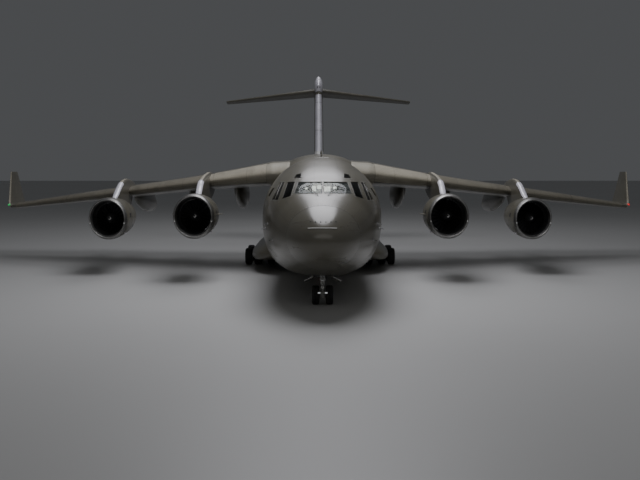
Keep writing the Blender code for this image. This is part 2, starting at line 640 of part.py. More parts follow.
def tail():
    made = loft("fin", fin_rings(), GREY)
    guide = loft("fin_guide", fin_rings())
    bullet = loft("bullet", [[(w * cos(pi * i / 6), s, BULLET_Z + h * sin(pi * i / 6)) for i in range(12)]
                             for s, h, w in BULLET])
    carve(guide, hull_solid("rudder_hull", AFT_STATIONS[:-1] + CONE_STATIONS, -CLEAR))
    (z0, s0), (z1, s1) = FIN_HINGE
    length = hypot(z1 - z0, s1 - s0)
    hinge = Hinge((0, s0, z0), (0, s1 - s0, z1 - z0), up=(1, 0, 0))
    foot, loss = RUDDER_NOSE
    for name, low, high in RUDDERS:
        ends = (low * length, high * length)
        radii = (foot - loss * low, foot - loss * high)
        control_surface(f"rudder_{name}", made, guide, hinge, ends, radii, 6)
    fuse(made, bullet)
    carve(made, slab("fin_box", FIN_BOX, (-FIN_BOX_HALF, FIN_BOX_HALF)))
    rings = []
    stations = [(-1, STABILISER[1]), (1, STABILISER[0]), (1, STABILISER[1])]
    for side, (x, s, chord, thick, z) in stations:
        rings.append([(side * x, s + aft, z + up) for aft, up in foil(chord, thick)])
    room = [[(side * x, s + aft, z + up) for aft, up in foil(chord, thick, REST)]
            for side, (x, s, chord, thick, z) in stations]
    plane = loft("stabiliser", rings, GREY)
    plane_guide = loft("stabiliser_guide", rings)
    carve(made, loft("stabiliser_room", room))
    carve(made, hull_solid("fin_hull", AFT_STATIONS[:-1] + CONE_STATIONS, -SEAT))
    root, tip = STABILISER
    hinge_root = root[1] + root[2] * TAIL_HINGE_SHARE
    hinge_tip = tip[1] + tip[2] * TAIL_HINGE_SHARE
    for side_name, side in SIDES:
        along = Vector((side * tip[0], hinge_tip - hinge_root, tip[4] - root[4]))
        hinge = Hinge((0, hinge_root, root[4]), along)
        ends = tuple(x / tip[0] * along.length for x in ELEVATOR)
        control_surface(f"elevator_{side_name}", plane, plane_guide, hinge, ends, ELEVATOR_NOSE, 4)


# Gear

def wheel_profile(tyres, width, radius, ends):
    """x and radius pairs of an axle with its wheels, from one end to the other."""
    rows = [(ends[0], AXLE)]
    for x in sorted(tyres):
        half = width / 2
        rows += [(x - half * 0.6, AXLE), (x - half, radius * 0.8), (x - half * 0.62, radius),
                 (x + half * 0.62, radius), (x + half, radius * 0.8), (x + half * 0.6, AXLE)]
    return rows + [(ends[1], AXLE)]


def wheels(name, s, tyres, width, radius, ends):
    """Wheels on their axle; a flat of each faceted tyre lies on the ground."""
    rings = []
    for x, r in wheel_profile(tyres, width, radius, ends):
        if r > AXLE:
            r /= cos(pi / WHEEL_SIDES)
        angles = [2 * pi * (i + 0.5) / WHEEL_SIDES for i in range(WHEEL_SIDES)]
        rings.append([(x, s + r * sin(a), radius - r * cos(a)) for a in angles])
    return loft(name, rings, TYRE)


def nose_gear(forward):
    s0, s1 = BAY_S
    carve(forward, block("nose_bay_mouth", (-BAY_HALF, BAY_HALF), (s0, s1), (0, 2.2)))
    wall = BAY_LINER
    half = BAY_HALF + wall
    liner = block("nose_bay", (-half, half), (s0 - wall, s1 + wall), (1.2, BAY_ROOF + wall), GREY)
    carve(liner, block("nose_bay_inside", (-BAY_HALF, BAY_HALF), (s0, s1), (0, BAY_ROOF)))
    keep(liner, hull_solid("liner_hull", FORWARD_STATIONS, WALL + REST))
    leg = rod("nose_leg", (0, NOSE_S, NOSE_LEG_END), (0, NOSE_S, BAY_ROOF - REST), NOSE_LEG, 12, STEEL)
    fuse(leg, rod("nose_drag_brace", (0, NOSE_S + 0.05, 1.75), (0, s1 - 0.25, BAY_ROOF - 0.12), 0.07, 8))
    steering = rod("nose_steering", (0, NOSE_S, NOSE_RADIUS), (0, NOSE_S, NOSE_LEG_END - CLEAR), NOSE_COLLAR,
                   PIN_SIDES, STEEL)
    top = NOSE_LEG_END + 0.3
    low = NOSE_LEG_END - 0.1
    fuse(steering, rod("nose_piston", (0, NOSE_S, low), (0, NOSE_S, top), NOSE_PISTON, PIN_SIDES),
         rod("nose_hub", (-NOSE_HUB, NOSE_S, NOSE_RADIUS), (NOSE_HUB, NOSE_S, NOSE_RADIUS), HUB_HALF, 12))
    carve(steering, rod("nose_axle_room", (-0.3, NOSE_S, NOSE_RADIUS), (0.3, NOSE_S, NOSE_RADIUS),
                        AXLE / cos(pi / HOLE_SIDES) + REST, HOLE_SIDES))
    carve(leg, rod("nose_piston_room", (0, NOSE_S, NOSE_LEG_END - 0.2), (0, NOSE_S, top + REST),
                   hole_radius(NOSE_PISTON), PIN_SIDES))
    wheels("nose_wheels", NOSE_S, (-NOSE_TYRE_X, NOSE_TYRE_X), NOSE_WIDTH, NOSE_RADIUS, (-0.6, 0.6))
    for side_name, side in SIDES:
        rings = []
        for s in (s0 + 0.2, s1 - 0.2):
            edge = BAY_HALF - REST
            outline = ((edge - 0.05, 0.18), (edge, 0.18), (edge, -0.05), (0.97, -0.24), (0.95, -0.29),
                       (edge - 0.05, -0.08))
            rings.append([(side * x, s, keel_z(s) + up) for x, up in outline])
        loft(f"nose_gear_door_{side_name}", rings, GREY)


def main_gear():
    inner, s0, s1, roof = MAIN_BAY
    step, low_roof = MAIN_BAY_STEP
    bay = ((inner, 0), (6, 0), (6, low_roof), (step, low_roof), (step, roof), (inner, roof))
    for side_name, side in SIDES:
        rings = []
        cx, cz = SPONSON_CORE
        for s, share in SPONSON:
            rings.append([(side * (cx + (x - cx) * share), s, cz + (z - cz) * share)
                          for x, z in SPONSON_SECTION])
        sponson = loft(f"sponson_{side_name}", rings, GREY)
        beside = CENTRE_STATIONS[:-1] + AFT_STATIONS[:3]
        carve(sponson, hull_solid(f"sponson_hull_{side_name}", beside, -SEAT),
              prism(f"main_bay_{side_name}", [(side * x, z) for x, z in bay], (s0, s1)))
        tyres = [side * x for x in MAIN_TYRES]
        ends = sorted((side * MAIN_AXLE_ENDS[0], side * MAIN_AXLE_ENDS[1]))
        for name, s in MAIN_AXLES:
            tag = f"{name}_{side_name}"
            x, hub = side * STRUT_X, (s, MAIN_RADIUS)
            strut = rod(f"main_strut_{tag}", (x, *hub), (x, s, roof - REST), MAIN_STRUT, 12, STEEL)
            fuse(strut, rod(f"hub_{tag}", (x - HUB_HALF, *hub), (x + HUB_HALF, *hub), HUB_RADIUS, 12))
            carve(strut, rod(f"axle_room_{tag}", (side * 3, *hub), (side * 6, *hub),
                             AXLE / cos(pi / HOLE_SIDES) + REST, HOLE_SIDES))
            wheels(f"main_wheels_{tag}", s, tyres, MAIN_WIDTH, MAIN_RADIUS, ends)


# Doors

def along_plan(s):
    """Half width of the opening under the tail at a station."""
    for (a, wide_a), (b, wide_b) in zip(RAMP_PLAN, RAMP_PLAN[1:]):
        if s <= b:
            return wide_a + (wide_b - wide_a) * max(s - a, 0) / (b - a)
    return wide_b


def skin_x(s, z):
    """Half width of the hull below its widest line."""
    crown, keel, half, above, below = smooth(HULL, s)
    middle, rise = (crown + keel) / 2, (crown - keel) / 2
    return half * (1 - ((middle - z) / rise)**below)**(1 / below)


def crew_hinge():
    """The crew door's hinge line lies in the skin at the door's foot."""
    s0, s1, z0, z1 = CREW_DOOR
    first, last = Vector((skin_x(s0, z0), s0, z0)), Vector((skin_x(s1, z0), s1, z0))
    return Hinge((first + last) / 2, last - first)


def hinge_barrel(moving, fixed, centre, along, half):
    """A round barrel on the moving piece that turns in a pocket of the fixed one."""
    centre, along = Vector(centre), Vector(along)
    name = moving.name + "_barrel"
    fuse(moving, rod(name, centre - along * half, centre + along * half, BARREL, PIN_SIDES))
    half += REST
    carve(fixed, rod(name + "_room", centre - along * half, centre + along * half,
                     hole_radius(BARREL), PIN_SIDES))


def doors(forward, centre, aft):
    # The ramp and the cargo door are the hull's underside, cut off by a sloping upper face
    outer = hull_solid("door_hull", (CENTRE_STATIONS[-2], *AFT_STATIONS))

    def plate(name, stations, thick, side_gap, material=None, lean=(0, 0)):
        """A piece of the underside between two stations; its end faces lean forward towards the top."""
        rings = []
        for s in stations:
            half = along_plan(s) - side_gap
            top = keel_z(s) + thick
            angle = radians(lean[0] if s == stations[0] else lean[1] if s == stations[-1] else 0)
            foot, low, high = keel_z(s) - UNDER_SKIN, s + UNDER_SKIN * tan(angle), s - thick * tan(angle)
            rings.append([(-half, low, foot), (half, low, foot), (half, high, top), (-half, high, top)])
        return loft(name, rings, material)

    ramp = plate("ramp", (CENTRE_END + CLEAR, RAMP_END - CLEAR), RAMP_THICK, CLEAR, GREY, (0, DOOR_LEAN))
    keep(ramp, outer)
    hinge_barrel(ramp, centre, (0, CENTRE_END, keel_z(CENTRE_END) + RAMP_HINGE_UP), (1, 0, 0), 1.0)
    stations = (RAMP_END, RAMP_PLAN[2][0], DOOR_END - CLEAR)
    door = plate("cargo_door", stations, CARGO_DOOR_THICK, CARGO_DOOR_GAP, GREY, (DOOR_LEAN, 0))
    keep(door, outer)
    hinge_z = keel_z(DOOR_END) + CARGO_HINGE_UP
    top = hinge_z + 0.6
    front = DOOR_END - CLEAR / 2
    lean = (top - hinge_z) * tan(radians(CARGO_DOOR_ANGLE + 2))
    relief = ((DOOR_END + 0.1, hinge_z), (front, hinge_z), (front - lean, top), (DOOR_END + 0.1, top))
    carve(door, slab("cargo_door_relief", relief, (-3, 3)))
    hinge_barrel(door, aft, (0, DOOR_END, hinge_z), (1, 0, 0), 0.55)
    carve(aft, plate("ramp_opening", (CENTRE_END - 0.5, RAMP_END), 1.3, 0),
          plate("door_opening", (RAMP_END - 0.001, RAMP_PLAN[2][0], DOOR_END), 1.1, 0))
    # Crew door, on the port side, hinged at its foot
    s0, s1, z0, z1 = CREW_DOOR
    tube = hull_tube("crew_door_skin", FORWARD_STATIONS, WALL)
    hinge = crew_hinge()
    half, tall, deep = (s1 - s0) / 2, z1 - z0, 1.5
    leaf = [(-deep, CLEAR), (deep, CLEAR), (deep, tall - CLEAR), (-deep, tall - CLEAR)]
    doorway = [(-deep, 0), (deep, 0), (deep, tall), (-deep, tall)]
    crew = piece(hinge.sweep("crew_door", (leaf, leaf), (-half + CLEAR, half - CLEAR)))
    keep(crew, tube)
    carve(forward, hinge.sweep("crew_doorway", (doorway, doorway), (-half, half)))
    hinge_barrel(crew, forward, hinge.origin, hinge.along, 0.3)
    # Paratroop doors stay shut: they move in and then slide
    tube = hull_tube("para_door_skin", AFT_STATIONS[:4], AFT_WALL)
    s0, s1, z0, z1 = PARA_DOOR
    for side_name, side in SIDES:
        x = sorted((side * 2, side * 5))
        made = block(f"paratroop_door_{side_name}", x, (s0 + REST, s1 - REST), (z0 + REST, z1 - REST), GREY)
        keep(made, tube)
        carve(aft, block(f"paratroop_doorway_{side_name}", x, (s0, s1), (z0, z1)))


def main():
    forward, centre, aft = hull()
    windows(forward)
    decks()
    wing(centre)
    engines()
    tail()
    nose_gear(forward)
    main_gear()
    doors(forward, centre, aft)


main()
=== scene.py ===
# %% [markdown]
# # A military transport plane at half its real size
# A large grey freighter stands on its wheels: four engines under a high wing, a T-shaped tail and a loading ramp
# under the rear. This lesson dresses a plain engineering model of it. The engineering model is the fixed frame:
# it says where each part is and what may turn. Here each part gets its smooth skin, its panels and its paint.

# %% Load the frame
import bpy
import bmesh
from math import copysign, cos, hypot, pi, radians, sin, sqrt, tan
from mathutils import Matrix, Vector


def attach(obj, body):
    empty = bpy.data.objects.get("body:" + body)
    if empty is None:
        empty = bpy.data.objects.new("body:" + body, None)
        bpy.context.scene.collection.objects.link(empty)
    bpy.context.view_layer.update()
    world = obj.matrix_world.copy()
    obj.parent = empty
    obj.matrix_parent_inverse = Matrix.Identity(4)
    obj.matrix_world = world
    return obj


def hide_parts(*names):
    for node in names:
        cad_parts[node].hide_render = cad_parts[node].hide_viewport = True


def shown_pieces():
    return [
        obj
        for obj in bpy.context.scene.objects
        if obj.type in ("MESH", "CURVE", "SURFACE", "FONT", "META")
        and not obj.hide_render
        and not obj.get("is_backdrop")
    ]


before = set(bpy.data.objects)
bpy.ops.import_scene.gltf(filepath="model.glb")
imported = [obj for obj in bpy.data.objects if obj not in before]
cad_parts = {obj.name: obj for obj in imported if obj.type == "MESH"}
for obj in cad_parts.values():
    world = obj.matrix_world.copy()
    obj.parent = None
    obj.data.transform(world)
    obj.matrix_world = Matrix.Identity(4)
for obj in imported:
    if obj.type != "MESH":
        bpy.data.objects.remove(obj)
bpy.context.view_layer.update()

# %% [markdown]
# ## Sizes
# Every size below is the real aircraft's, in metres, and one number turns it into the model's. A place is written
# as x across (port is positive), s aft from the nose tip, and z above the ground. Long tables could be replaced by
# a drawing traced in curves, but a table is easier to check against the engineering model.

# %% Scale and hull tables
SCALE, LENGTH = 0.5, 53.04
SIDES = (("port", 1), ("starboard", -1))
REST, CLEAR, WALL = 0.0006, 0.016, 0.18
# Hull sections: s, crown height, keel height, half width, squareness above and below the widest line
HULL = (
    (0.0, 3.8, 3.8, 0.0, 2.0, 2.0), (0.15, 4.28, 3.3, 0.55, 2.0, 2.0), (0.6, 4.75, 2.8, 1.1, 2.0, 2.0),
    (1.75, 5.42, 2.28, 1.83, 2.1, 2.0), (3.0, 5.98, 1.98, 2.38, 2.4, 2.1), (3.9, 6.55, 1.76, 2.7, 2.4, 2.1),
    (6.5, 7.42, 1.32, 3.2, 2.2, 2.3), (9.0, 7.88, 1.14, 3.4, 2.0, 2.7), (11.5, 7.98, 1.12, 3.43, 2.0, 2.8),
    (33.2, 7.98, 1.12, 3.43, 2.0, 2.8), (38.0, 7.95, 2.25, 3.2, 2.0, 2.8), (42.0, 7.85, 3.6, 2.6, 2.0, 2.4),
    (45.5, 7.62, 4.9, 1.75, 2.0, 2.0), (48.0, 7.2, 5.9, 0.8, 2.0, 2.0), (48.7, 6.75, 6.55, 0.08, 2.0, 2.0),
)
RADOME_END, FORWARD_END, CENTRE_END, SHELL_END, CONE_END = 1.75, 10.4, 34.0, 45.6, 48.7
FLOOR_Z, DECK_Z, DECK_END = 1.75, 4.55, 8.0


def at(x, s, z):
    return Vector((x, s - LENGTH / 2, z)) * SCALE


def cubic(t, a, b, m, n):
    """A smooth curve from a to b with slopes m and n at its ends."""
    return (2 * t**3 - 3 * t**2 + 1) * a + (t**3 - 2 * t**2 + t) * m + (3 * t**2 - 2 * t**3) * b + (t**3
        - t**2) * n


def smooth(table, s):
    """The table's values at s, by a cubic that never overshoots, spaced by the root of s for a round nose."""
    place = [sqrt(row[0]) for row in table]
    u = min(max(sqrt(max(s, 0)), place[0]), place[-1])
    i = max(k for k in range(len(table) - 1) if place[k] <= u or k == 0)
    width = place[i + 1] - place[i]

    def slope(k, column):
        if k == 0 or k == len(table) - 1:
            near = min(k, len(table) - 2)
            return (table[near + 1][column] - table[near][column]) / (place[near + 1] - place[near])
        before = (table[k][column] - table[k - 1][column]) / (place[k] - place[k - 1])
        after = (table[k + 1][column] - table[k][column]) / (place[k + 1] - place[k])
        return 0.0 if before * after <= 0 else 2 * before * after / (before + after)

    return [cubic((u - place[i]) / width, table[i][c], table[i + 1][c], slope(i, c) * width, slope(i + 1, c)
        * width) for c in range(1, len(table[0]))]


def between(table, x):
    """The table's values at x, on straight lines from row to row."""
    for a, b in zip(table, table[1:]):
        if x <= b[0]:
            break
    share = (x - a[0]) / (b[0] - a[0])
    return [p + (q - p) * share for p, q in zip(a[1:], b[1:])]


def spread(a, b, step):
    """Evenly spaced numbers from a to b, about a step apart."""
    count = max(1, round(abs(b - a) / step))
    return [a + (b - a) * i / count for i in range(count + 1)]


def circle(sides, radius=1.0):
    return [(radius * cos(2 * pi * i / sides), radius * sin(2 * pi * i / sides)) for i in range(sides)]


def keel_z(s):
    return smooth(HULL, s)[1]


print("hull", HULL[-1][0], "m long, model", round(LENGTH * SCALE, 2), "m over all")

# %% [markdown]
# ## The camera
# The picture is taken from straight ahead, about 37 m before the nose and a little higher than the wheels' hubs,
# with a normal lens. The camera comes first, because the size of every small part is judged through it.

# %% Camera
LENS = bpy.data.cameras.new("camera")
LENS.lens, LENS.sensor_width = 44.9, 36.0
LENS.clip_start, LENS.clip_end = 0.1, 400
camera = bpy.data.objects.new("camera", LENS)
camera.location = at(-0.43, -37.0, 7.0)
camera.rotation_euler = (radians(90 - 4.8), 0, radians(-0.4))
bpy.context.scene.collection.objects.link(camera)
bpy.context.scene.camera = camera
print("camera", [round(v, 2) for v in camera.location])

# %% [markdown]
# ## Mesh helpers
# Almost every skin here is a loft: rings of points joined from one to the next. The same loft writes a UV map in
# real metres, along the rows and round the ring, so that panel lines can follow the skin round a curved nose.
# Curve objects could be lofted too, but they don't give that map.

# %% Lofts
def link(name, mesh):
    made = bpy.data.objects.new(name, mesh)
    bpy.context.scene.collection.objects.link(made)
    return made


def soften(mesh, sharp):
    mesh.shade_smooth()
    mesh.set_sharp_from_angle(angle=radians(sharp))


def loft(name, rings, loop=False, finish=None, sharp=30, start=0.0):
    """Skin a row of rings; a ring of one point is a pole. finish(row) gives each band's material number."""
    bm = bmesh.new()
    map_layer = bm.loops.layers.uv.new("UVMap")
    rows = [[bm.verts.new(at(*point)) for point in ring] for ring in rings]
    count = max(len(ring) for ring in rings)
    widest = max((ring for ring in rings if len(ring) == count),
        key=lambda ring: sum((Vector(a) - Vector(b)).length for a, b in zip(ring, ring[1:])))
    around = [0.0]
    for i in range(count):
        around.append(around[-1] + (Vector(widest[(i + 1) % count]) - Vector(widest[i])).length)
    along = [start]
    for a, b in zip(rings, rings[1:]):
        middle = [sum((Vector(p) for p in ring), Vector()) / len(ring) for ring in (a, b)]
        along.append(along[-1] + (middle[1] - middle[0]).length)
    for k, m in [(k, k + 1) for k in range(len(rows) - 1)] + ([(len(rows) - 1, 0)] if loop else []):
        a, b = rows[k], rows[m]
        for i in range(count):
            j = (i + 1) % count
            if len(a) == 1:
                corners = ((a[0], k, i), (b[j], m, i + 1), (b[i], m, i))
            elif len(b) == 1:
                corners = ((a[i], k, i), (a[j], k, i + 1), (b[0], m, i))
            else:
                corners = ((a[i], k, i), (a[j], k, i + 1), (b[j], m, i + 1), (b[i], m, i))
            face = bm.faces.new([corner[0] for corner in corners])
            face.material_index = finish(k) if finish else 0
            for corner, (vert, row, turn) in zip(face.loops, corners):
                corner[map_layer].uv = (along[row], around[turn])
    for end in () if loop else (rows[0], rows[-1]):
        if len(end) > 1:
            bm.faces.new(end)
    bmesh.ops.recalc_face_normals(bm, faces=bm.faces)
    mesh = bpy.data.meshes.new(name)
    bm.to_mesh(mesh)
    bm.free()
    soften(mesh, sharp)
    return link(name, mesh)


def block(name, x, s, z):
    return loft(name, [[(x[0], q, z[0]), (x[1], q, z[0]), (x[1], q, z[1]), (x[0], q, z[1])] for q in s])


def prism(name, outline, s):
    """A front view outline of x, z points between two stations."""
    return loft(name, [[(x, q, z) for x, z in outline] for q in s])


def slab(name, outline, x):
    """A side view outline of s, z points between two planes across."""
    return loft(name, [[(q, s, z) for s, z in outline] for q in x])


def lathe(name, a, b, profile, sides=32, **more):
    """Turn a profile of distance and radius pairs round the line from a towards b."""
    a, b = Vector(a), Vector(b)
    turn, ahead = (b - a).to_track_quat("Z", "Y"), (b - a).normalized()
    return loft(name, [[a + ahead * far + turn @ Vector((*p, 0)) for p in circle(sides, r)] if r > 1e-4
        else [a + ahead * far] for far, r in profile], **more)


def rod(name, a, b, radius, sides=24):
    return lathe(name, a, b, ((0, radius), ((Vector(b) - Vector(a)).length, radius)), sides)


def stamp(name, profile, sides=12, **more):
    """A small turned piece at the origin, for a tree to copy."""
    return lathe(name, (0, LENGTH / 2, 0), (0, LENGTH / 2, 1), profile, sides, **more)


def tube_along(name, points, radius, sides=10):
    """A round bar or pipe bent through points."""
    rings, last = [], len(points) - 1
    for i, p in enumerate(points):
        turn = (Vector(points[min(i + 1, last)]) - Vector(points[max(i - 1, 0)])).to_track_quat("Z", "Y")
        rings.append([Vector(p) + turn @ Vector((*q, 0)) for q in circle(sides, radius)])
    return loft(name, rings)


# %% Cutting, joining and bevels
def remove(*objects):
    for obj in objects:
        mesh = obj.data
        bpy.data.objects.remove(obj, do_unlink=True)
        if mesh.users == 0:
            bpy.data.meshes.remove(mesh)


def bake(obj):
    """Apply what the modifiers do, as a plain mesh."""
    graph = bpy.context.evaluated_depsgraph_get()
    mesh = bpy.data.meshes.new_from_object(obj.evaluated_get(graph))
    obj.modifiers.clear()
    old, obj.data = obj.data, mesh
    bpy.data.meshes.remove(old)
    return obj


def combine(target, tools, operation, spend=True):
    for tool in tools:
        step = target.modifiers.new(operation.lower(), "BOOLEAN")
        step.operation, step.object = operation, tool
    bake(target)
    soften(target.data, 30)
    if spend:
        remove(*tools)
    return target


def carve(target, *tools):
    return combine(target, tools, "DIFFERENCE")


def keep(target, tool, spend=True):
    return combine(target, [tool], "INTERSECT", spend)


def fuse(target, tool, spend=True):
    return combine(target, [tool], "UNION", spend)


def join(name, objects):
    """Several meshes as one piece."""
    bm = bmesh.new()
    for obj in objects:
        bm.from_mesh(obj.data)
    mesh = bpy.data.meshes.new(name)
    bm.to_mesh(mesh)
    bm.free()
    soften(mesh, 30)
    remove(*objects)
    return link(name, mesh)


def bevel(obj, width, segments=2, angle=40):
    step = obj.modifiers.new("bevel", "BEVEL")
    step.width, step.segments, step.limit_method = width * SCALE, segments, "ANGLE"
    step.angle_limit = radians(angle)
    bake(obj)
    soften(obj.data, angle)
    return obj


def fit(obj, finish, body="root", stands_for=()):
    """Give a finished piece its materials and the body that it moves with."""
    slots = obj.data.materials
    for i, made in enumerate(finish if isinstance(finish, tuple) else (finish,)):
        if i < len(slots):
            slots[i] = made
        else:
            slots.append(made)
    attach(obj, body)
    if stands_for:
        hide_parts(*stands_for)
    return obj


def skin(obj, finish, node, body="root"):
    """A painted skin that stands for one node of the frame."""
    return fit(obj, finish, body, [node])


def repaint(finish, *nodes):
    """A new finish on nodes of the frame that keep their own mesh."""
    for node in nodes:
        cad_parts[node].data.materials.clear()
        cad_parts[node].data.materials.append(finish)


print("helpers ready")

# %% [markdown]
# ## Trees for what repeats
# Blades, bolts, rollers and frames repeat, so Geometry Nodes place one small piece many times. Three trees do all
# of it: a ring round an axis, a row between two points, and studs on points that know which way they face. A
# modifier on a list of points could do the same, but a tree shows its sizes by name.

# %% Nodes of any kind
def plug(tree, node, inputs):
    """Set a node's inputs by name; a socket is linked, and anything else is its value."""
    for key, value in inputs.items():
        if isinstance(value, bpy.types.NodeSocket):
            tree.links.new(value, node.inputs[key])
        else:
            node.inputs[key].default_value = value
    return node


def add_node(tree, kind, inputs, **settings):
    made = tree.nodes.new(kind if "Node" in kind else "ShaderNode" + kind)
    for key, value in settings.items():
        setattr(made, key, value)
    return plug(tree, made, inputs)


# %% Geometry Nodes trees
SOCKETS = {"Piece": "Object", "Finish": "Material", "Count": "Int", "Radius": "Float", "Size": "Float"}


def new_tree(name, *labels):
    tree = bpy.data.node_groups.new(name, "GeometryNodeTree")
    tree.interface.new_socket("Geometry", in_out="INPUT", socket_type="NodeSocketGeometry")
    for label in ("Piece", *labels, "Finish"):
        kind = "NodeSocket" + SOCKETS.get(label, "Vector")
        tree.interface.new_socket(label, in_out="INPUT", socket_type=kind)
    tree.interface.new_socket("Geometry", in_out="OUTPUT", socket_type="NodeSocketGeometry")
    return tree, tree.nodes.new("NodeGroupInput").outputs, tree.nodes.new("NodeGroupOutput")


def stamps_on(tree, given, points, **more):
    """Instances on points, made real, with their finish."""
    info = add_node(tree, "GeometryNodeObjectInfo", {"Object": given["Piece"]}).outputs["Geometry"]
    stamps = add_node(tree, "GeometryNodeInstanceOnPoints", {"Points": points, "Instance": info, **more})
    real = add_node(tree, "GeometryNodeRealizeInstances", {"Geometry": stamps.outputs[0]}).outputs[0]
    return add_node(tree, "GeometryNodeSetMaterial", {"Geometry": real,
        "Material": given["Finish"]}).outputs[0]


def ring_tree():
    tree, given, end = new_tree("ring of pieces", "Count", "Radius", "Centre", "Turn")
    places = add_node(tree, "GeometryNodeMeshCircle", {"Vertices": given["Count"], "Radius": given["Radius"]})
    step = add_node(tree, "Math", {0: 2 * pi, 1: given["Count"]}, operation="DIVIDE").outputs[0]
    index = add_node(tree, "GeometryNodeInputIndex", {}).outputs[0]
    angle = add_node(tree, "Math", {0: step, 1: index}, operation="MULTIPLY").outputs[0]
    spin = add_node(tree, "CombineXYZ", {"Z": angle}).outputs[0]
    made = stamps_on(tree, given, places.outputs["Mesh"], Rotation=spin)
    placed = {"Geometry": made, "Translation": given["Centre"], "Rotation": given["Turn"]}
    tree.links.new(add_node(tree, "GeometryNodeTransform", placed).outputs[0], end.inputs[0])
    return tree


def row_tree():
    tree, given, end = new_tree("row of pieces", "Count", "Start", "Step", "Turn")
    line = add_node(tree, "GeometryNodeMeshLine", {"Count": given["Count"], "Start Location": given["Start"],
        "Offset": given["Step"]}, mode="OFFSET")
    tree.links.new(stamps_on(tree, given, line.outputs["Mesh"], Rotation=given["Turn"]), end.inputs[0])
    return tree


def stud_tree():
    tree, given, end = new_tree("studs that face outwards", "Size")
    facing = add_node(tree, "GeometryNodeInputNamedAttribute", {"Name": "facing"}, data_type="FLOAT_VECTOR")
    turn = add_node(tree, "FunctionNodeAlignRotationToVector", {"Vector": facing.outputs["Attribute"]},
        axis="Z")
    made = stamps_on(tree, given, given["Geometry"], Rotation=turn.outputs["Rotation"], Scale=given["Size"])
    tree.links.new(made, end.inputs[0])
    return tree


RING, ROW, STUDS = ring_tree(), row_tree(), stud_tree()


def grow(name, tree, piece, finish, points=(), **inputs):
    """Run a tree once and keep its result as a plain mesh; points are pairs of place and facing."""
    mesh = bpy.data.meshes.new(name)
    if points:
        mesh.from_pydata([at(*place) for place, facing in points], [], [])
        layer = mesh.attributes.new("facing", "FLOAT_VECTOR", "POINT")
        for item, (place, facing) in zip(layer.data, points):
            item.vector = facing
    host = link(name, mesh)
    step = host.modifiers.new("tree", "NODES")
    step.node_group = tree
    inputs = {"Size": 1.0, "Piece": piece, "Finish": finish, **inputs}
    for item in tree.interface.items_tree:
        if item.item_type == "SOCKET" and item.in_out == "INPUT" and item.name in inputs:
            value = inputs[item.name]
            step[item.identifier] = tuple(value) if isinstance(value, Vector) else value
    return bake(host)


print("trees", [tree.name for tree in (RING, ROW, STUDS)])

# %% [markdown]
# ## Paint and other finishes
# The aircraft is one warm grey, but no two panels are quite alike: the paint fades in large soft patches, has a fine
# grain, streaks along the airflow and gathers dirt in the joints. Noise textures on Object coordinates make the
# patches, and a brick pattern on the UV map makes the panel joints. A painted image would need an image file.

# %% Node helpers
def shader_of(name):
    made = bpy.data.materials.new(name)
    made.use_nodes = True
    return made, made.node_tree, made.node_tree.nodes["Principled BSDF"]


def noise(tree, scale, detail=4, stretch=(1, 1, 1)):
    """Noise on the object's own coordinates, from 0 to 1."""
    place = add_node(tree, "TexCoord", {}).outputs["Object"]
    turned = add_node(tree, "Mapping", {"Vector": place, "Scale": stretch}).outputs[0]
    return add_node(tree, "TexNoise", {"Vector": turned, "Scale": scale, "Detail": detail}).outputs["Fac"]


def ramp(tree, value, low, high, a=0.0, b=1.0):
    given = {"Value": value, "From Min": low, "From Max": high, "To Min": a, "To Max": b}
    return add_node(tree, "MapRange", given).outputs["Result"]


def mix(tree, share, a, b):
    a, b = ((*colour, 1) if isinstance(colour, tuple) else colour for colour in (a, b))
    return add_node(tree, "Mix", {0: share, 6: a, 7: b}, data_type="RGBA").outputs[2]


def times(tree, a, b, operation="MULTIPLY"):
    return add_node(tree, "Math", {0: a, 1: b}, operation=operation).outputs[0]


def bump(tree, shader, *layers):
    """Layers of height, strength and distance, one on the other."""
    last = {}
    for height, strength, distance in layers:
        made = add_node(tree, "Bump", {"Height": height, "Strength": strength, "Distance": distance, **last})
        last = {"Normal": made.outputs["Normal"]}
    plug(tree, shader, last)


def joints(tree, wide, tall, gap):
    """Panel joints on the UV map: 1 in a joint, 0 on a panel."""
    chart = add_node(tree, "UVMap", {}, uv_map="UVMap").outputs[0]
    return add_node(tree, "TexBrick", {"Vector": chart, "Scale": 1.0, "Mortar Size": gap,
        "Mortar Smooth": 0.3, "Brick Width": wide, "Row Height": tall}).outputs["Fac"]


def coat(name, dark, light, rough, panels=None, streak=0.35, grime=0.25, metal=0.0, gloss=0.0, grain=0.12):
    """A sprayed finish: two tones in patches, streaks along the airflow, grain, grime and panel joints."""
    made, tree, shader = shader_of(name)
    patches, runs = noise(tree, 0.7, 5), noise(tree, 1.6, 6, (1.0, 0.12, 2.2))
    fine = noise(tree, 46.0, 3)
    tone = times(tree, ramp(tree, patches, 0.3, 0.7), 1 - streak)
    tone = times(tree, tone, times(tree, ramp(tree, runs, 0.35, 0.68), streak), "ADD")
    colour = mix(tree, tone, dark, light)
    colour = mix(tree, ramp(tree, fine, 0.35, 0.65, 0.0, grain), colour, tuple(c * 0.45 for c in dark))
    soiled = ramp(tree, noise(tree, 2.4, 8, (1, 0.3, 1)), 0.56, 0.78, 0.0, grime)
    colour = mix(tree, soiled, colour, (0.045, 0.04, 0.033))
    layers = [(fine, 0.06, 0.002), (patches, 0.1, 0.02)]
    if panels:
        gaps = joints(tree, *panels)
        colour = mix(tree, times(tree, gaps, 0.62), colour, (0.03, 0.028, 0.024))
        layers.append((times(tree, gaps, -1.0), 0.35, 0.004))
    roughness = ramp(tree, runs, 0.2, 0.8, rough - 0.07, rough + 0.09)
    plug(tree, shader, {"Base Color": colour, "Roughness": roughness, "Metallic": metal, "Coat Weight": gloss,
        "Specular IOR Level": 0.3, "Coat Roughness": 0.17})
    bump(tree, shader, *layers)
    return made


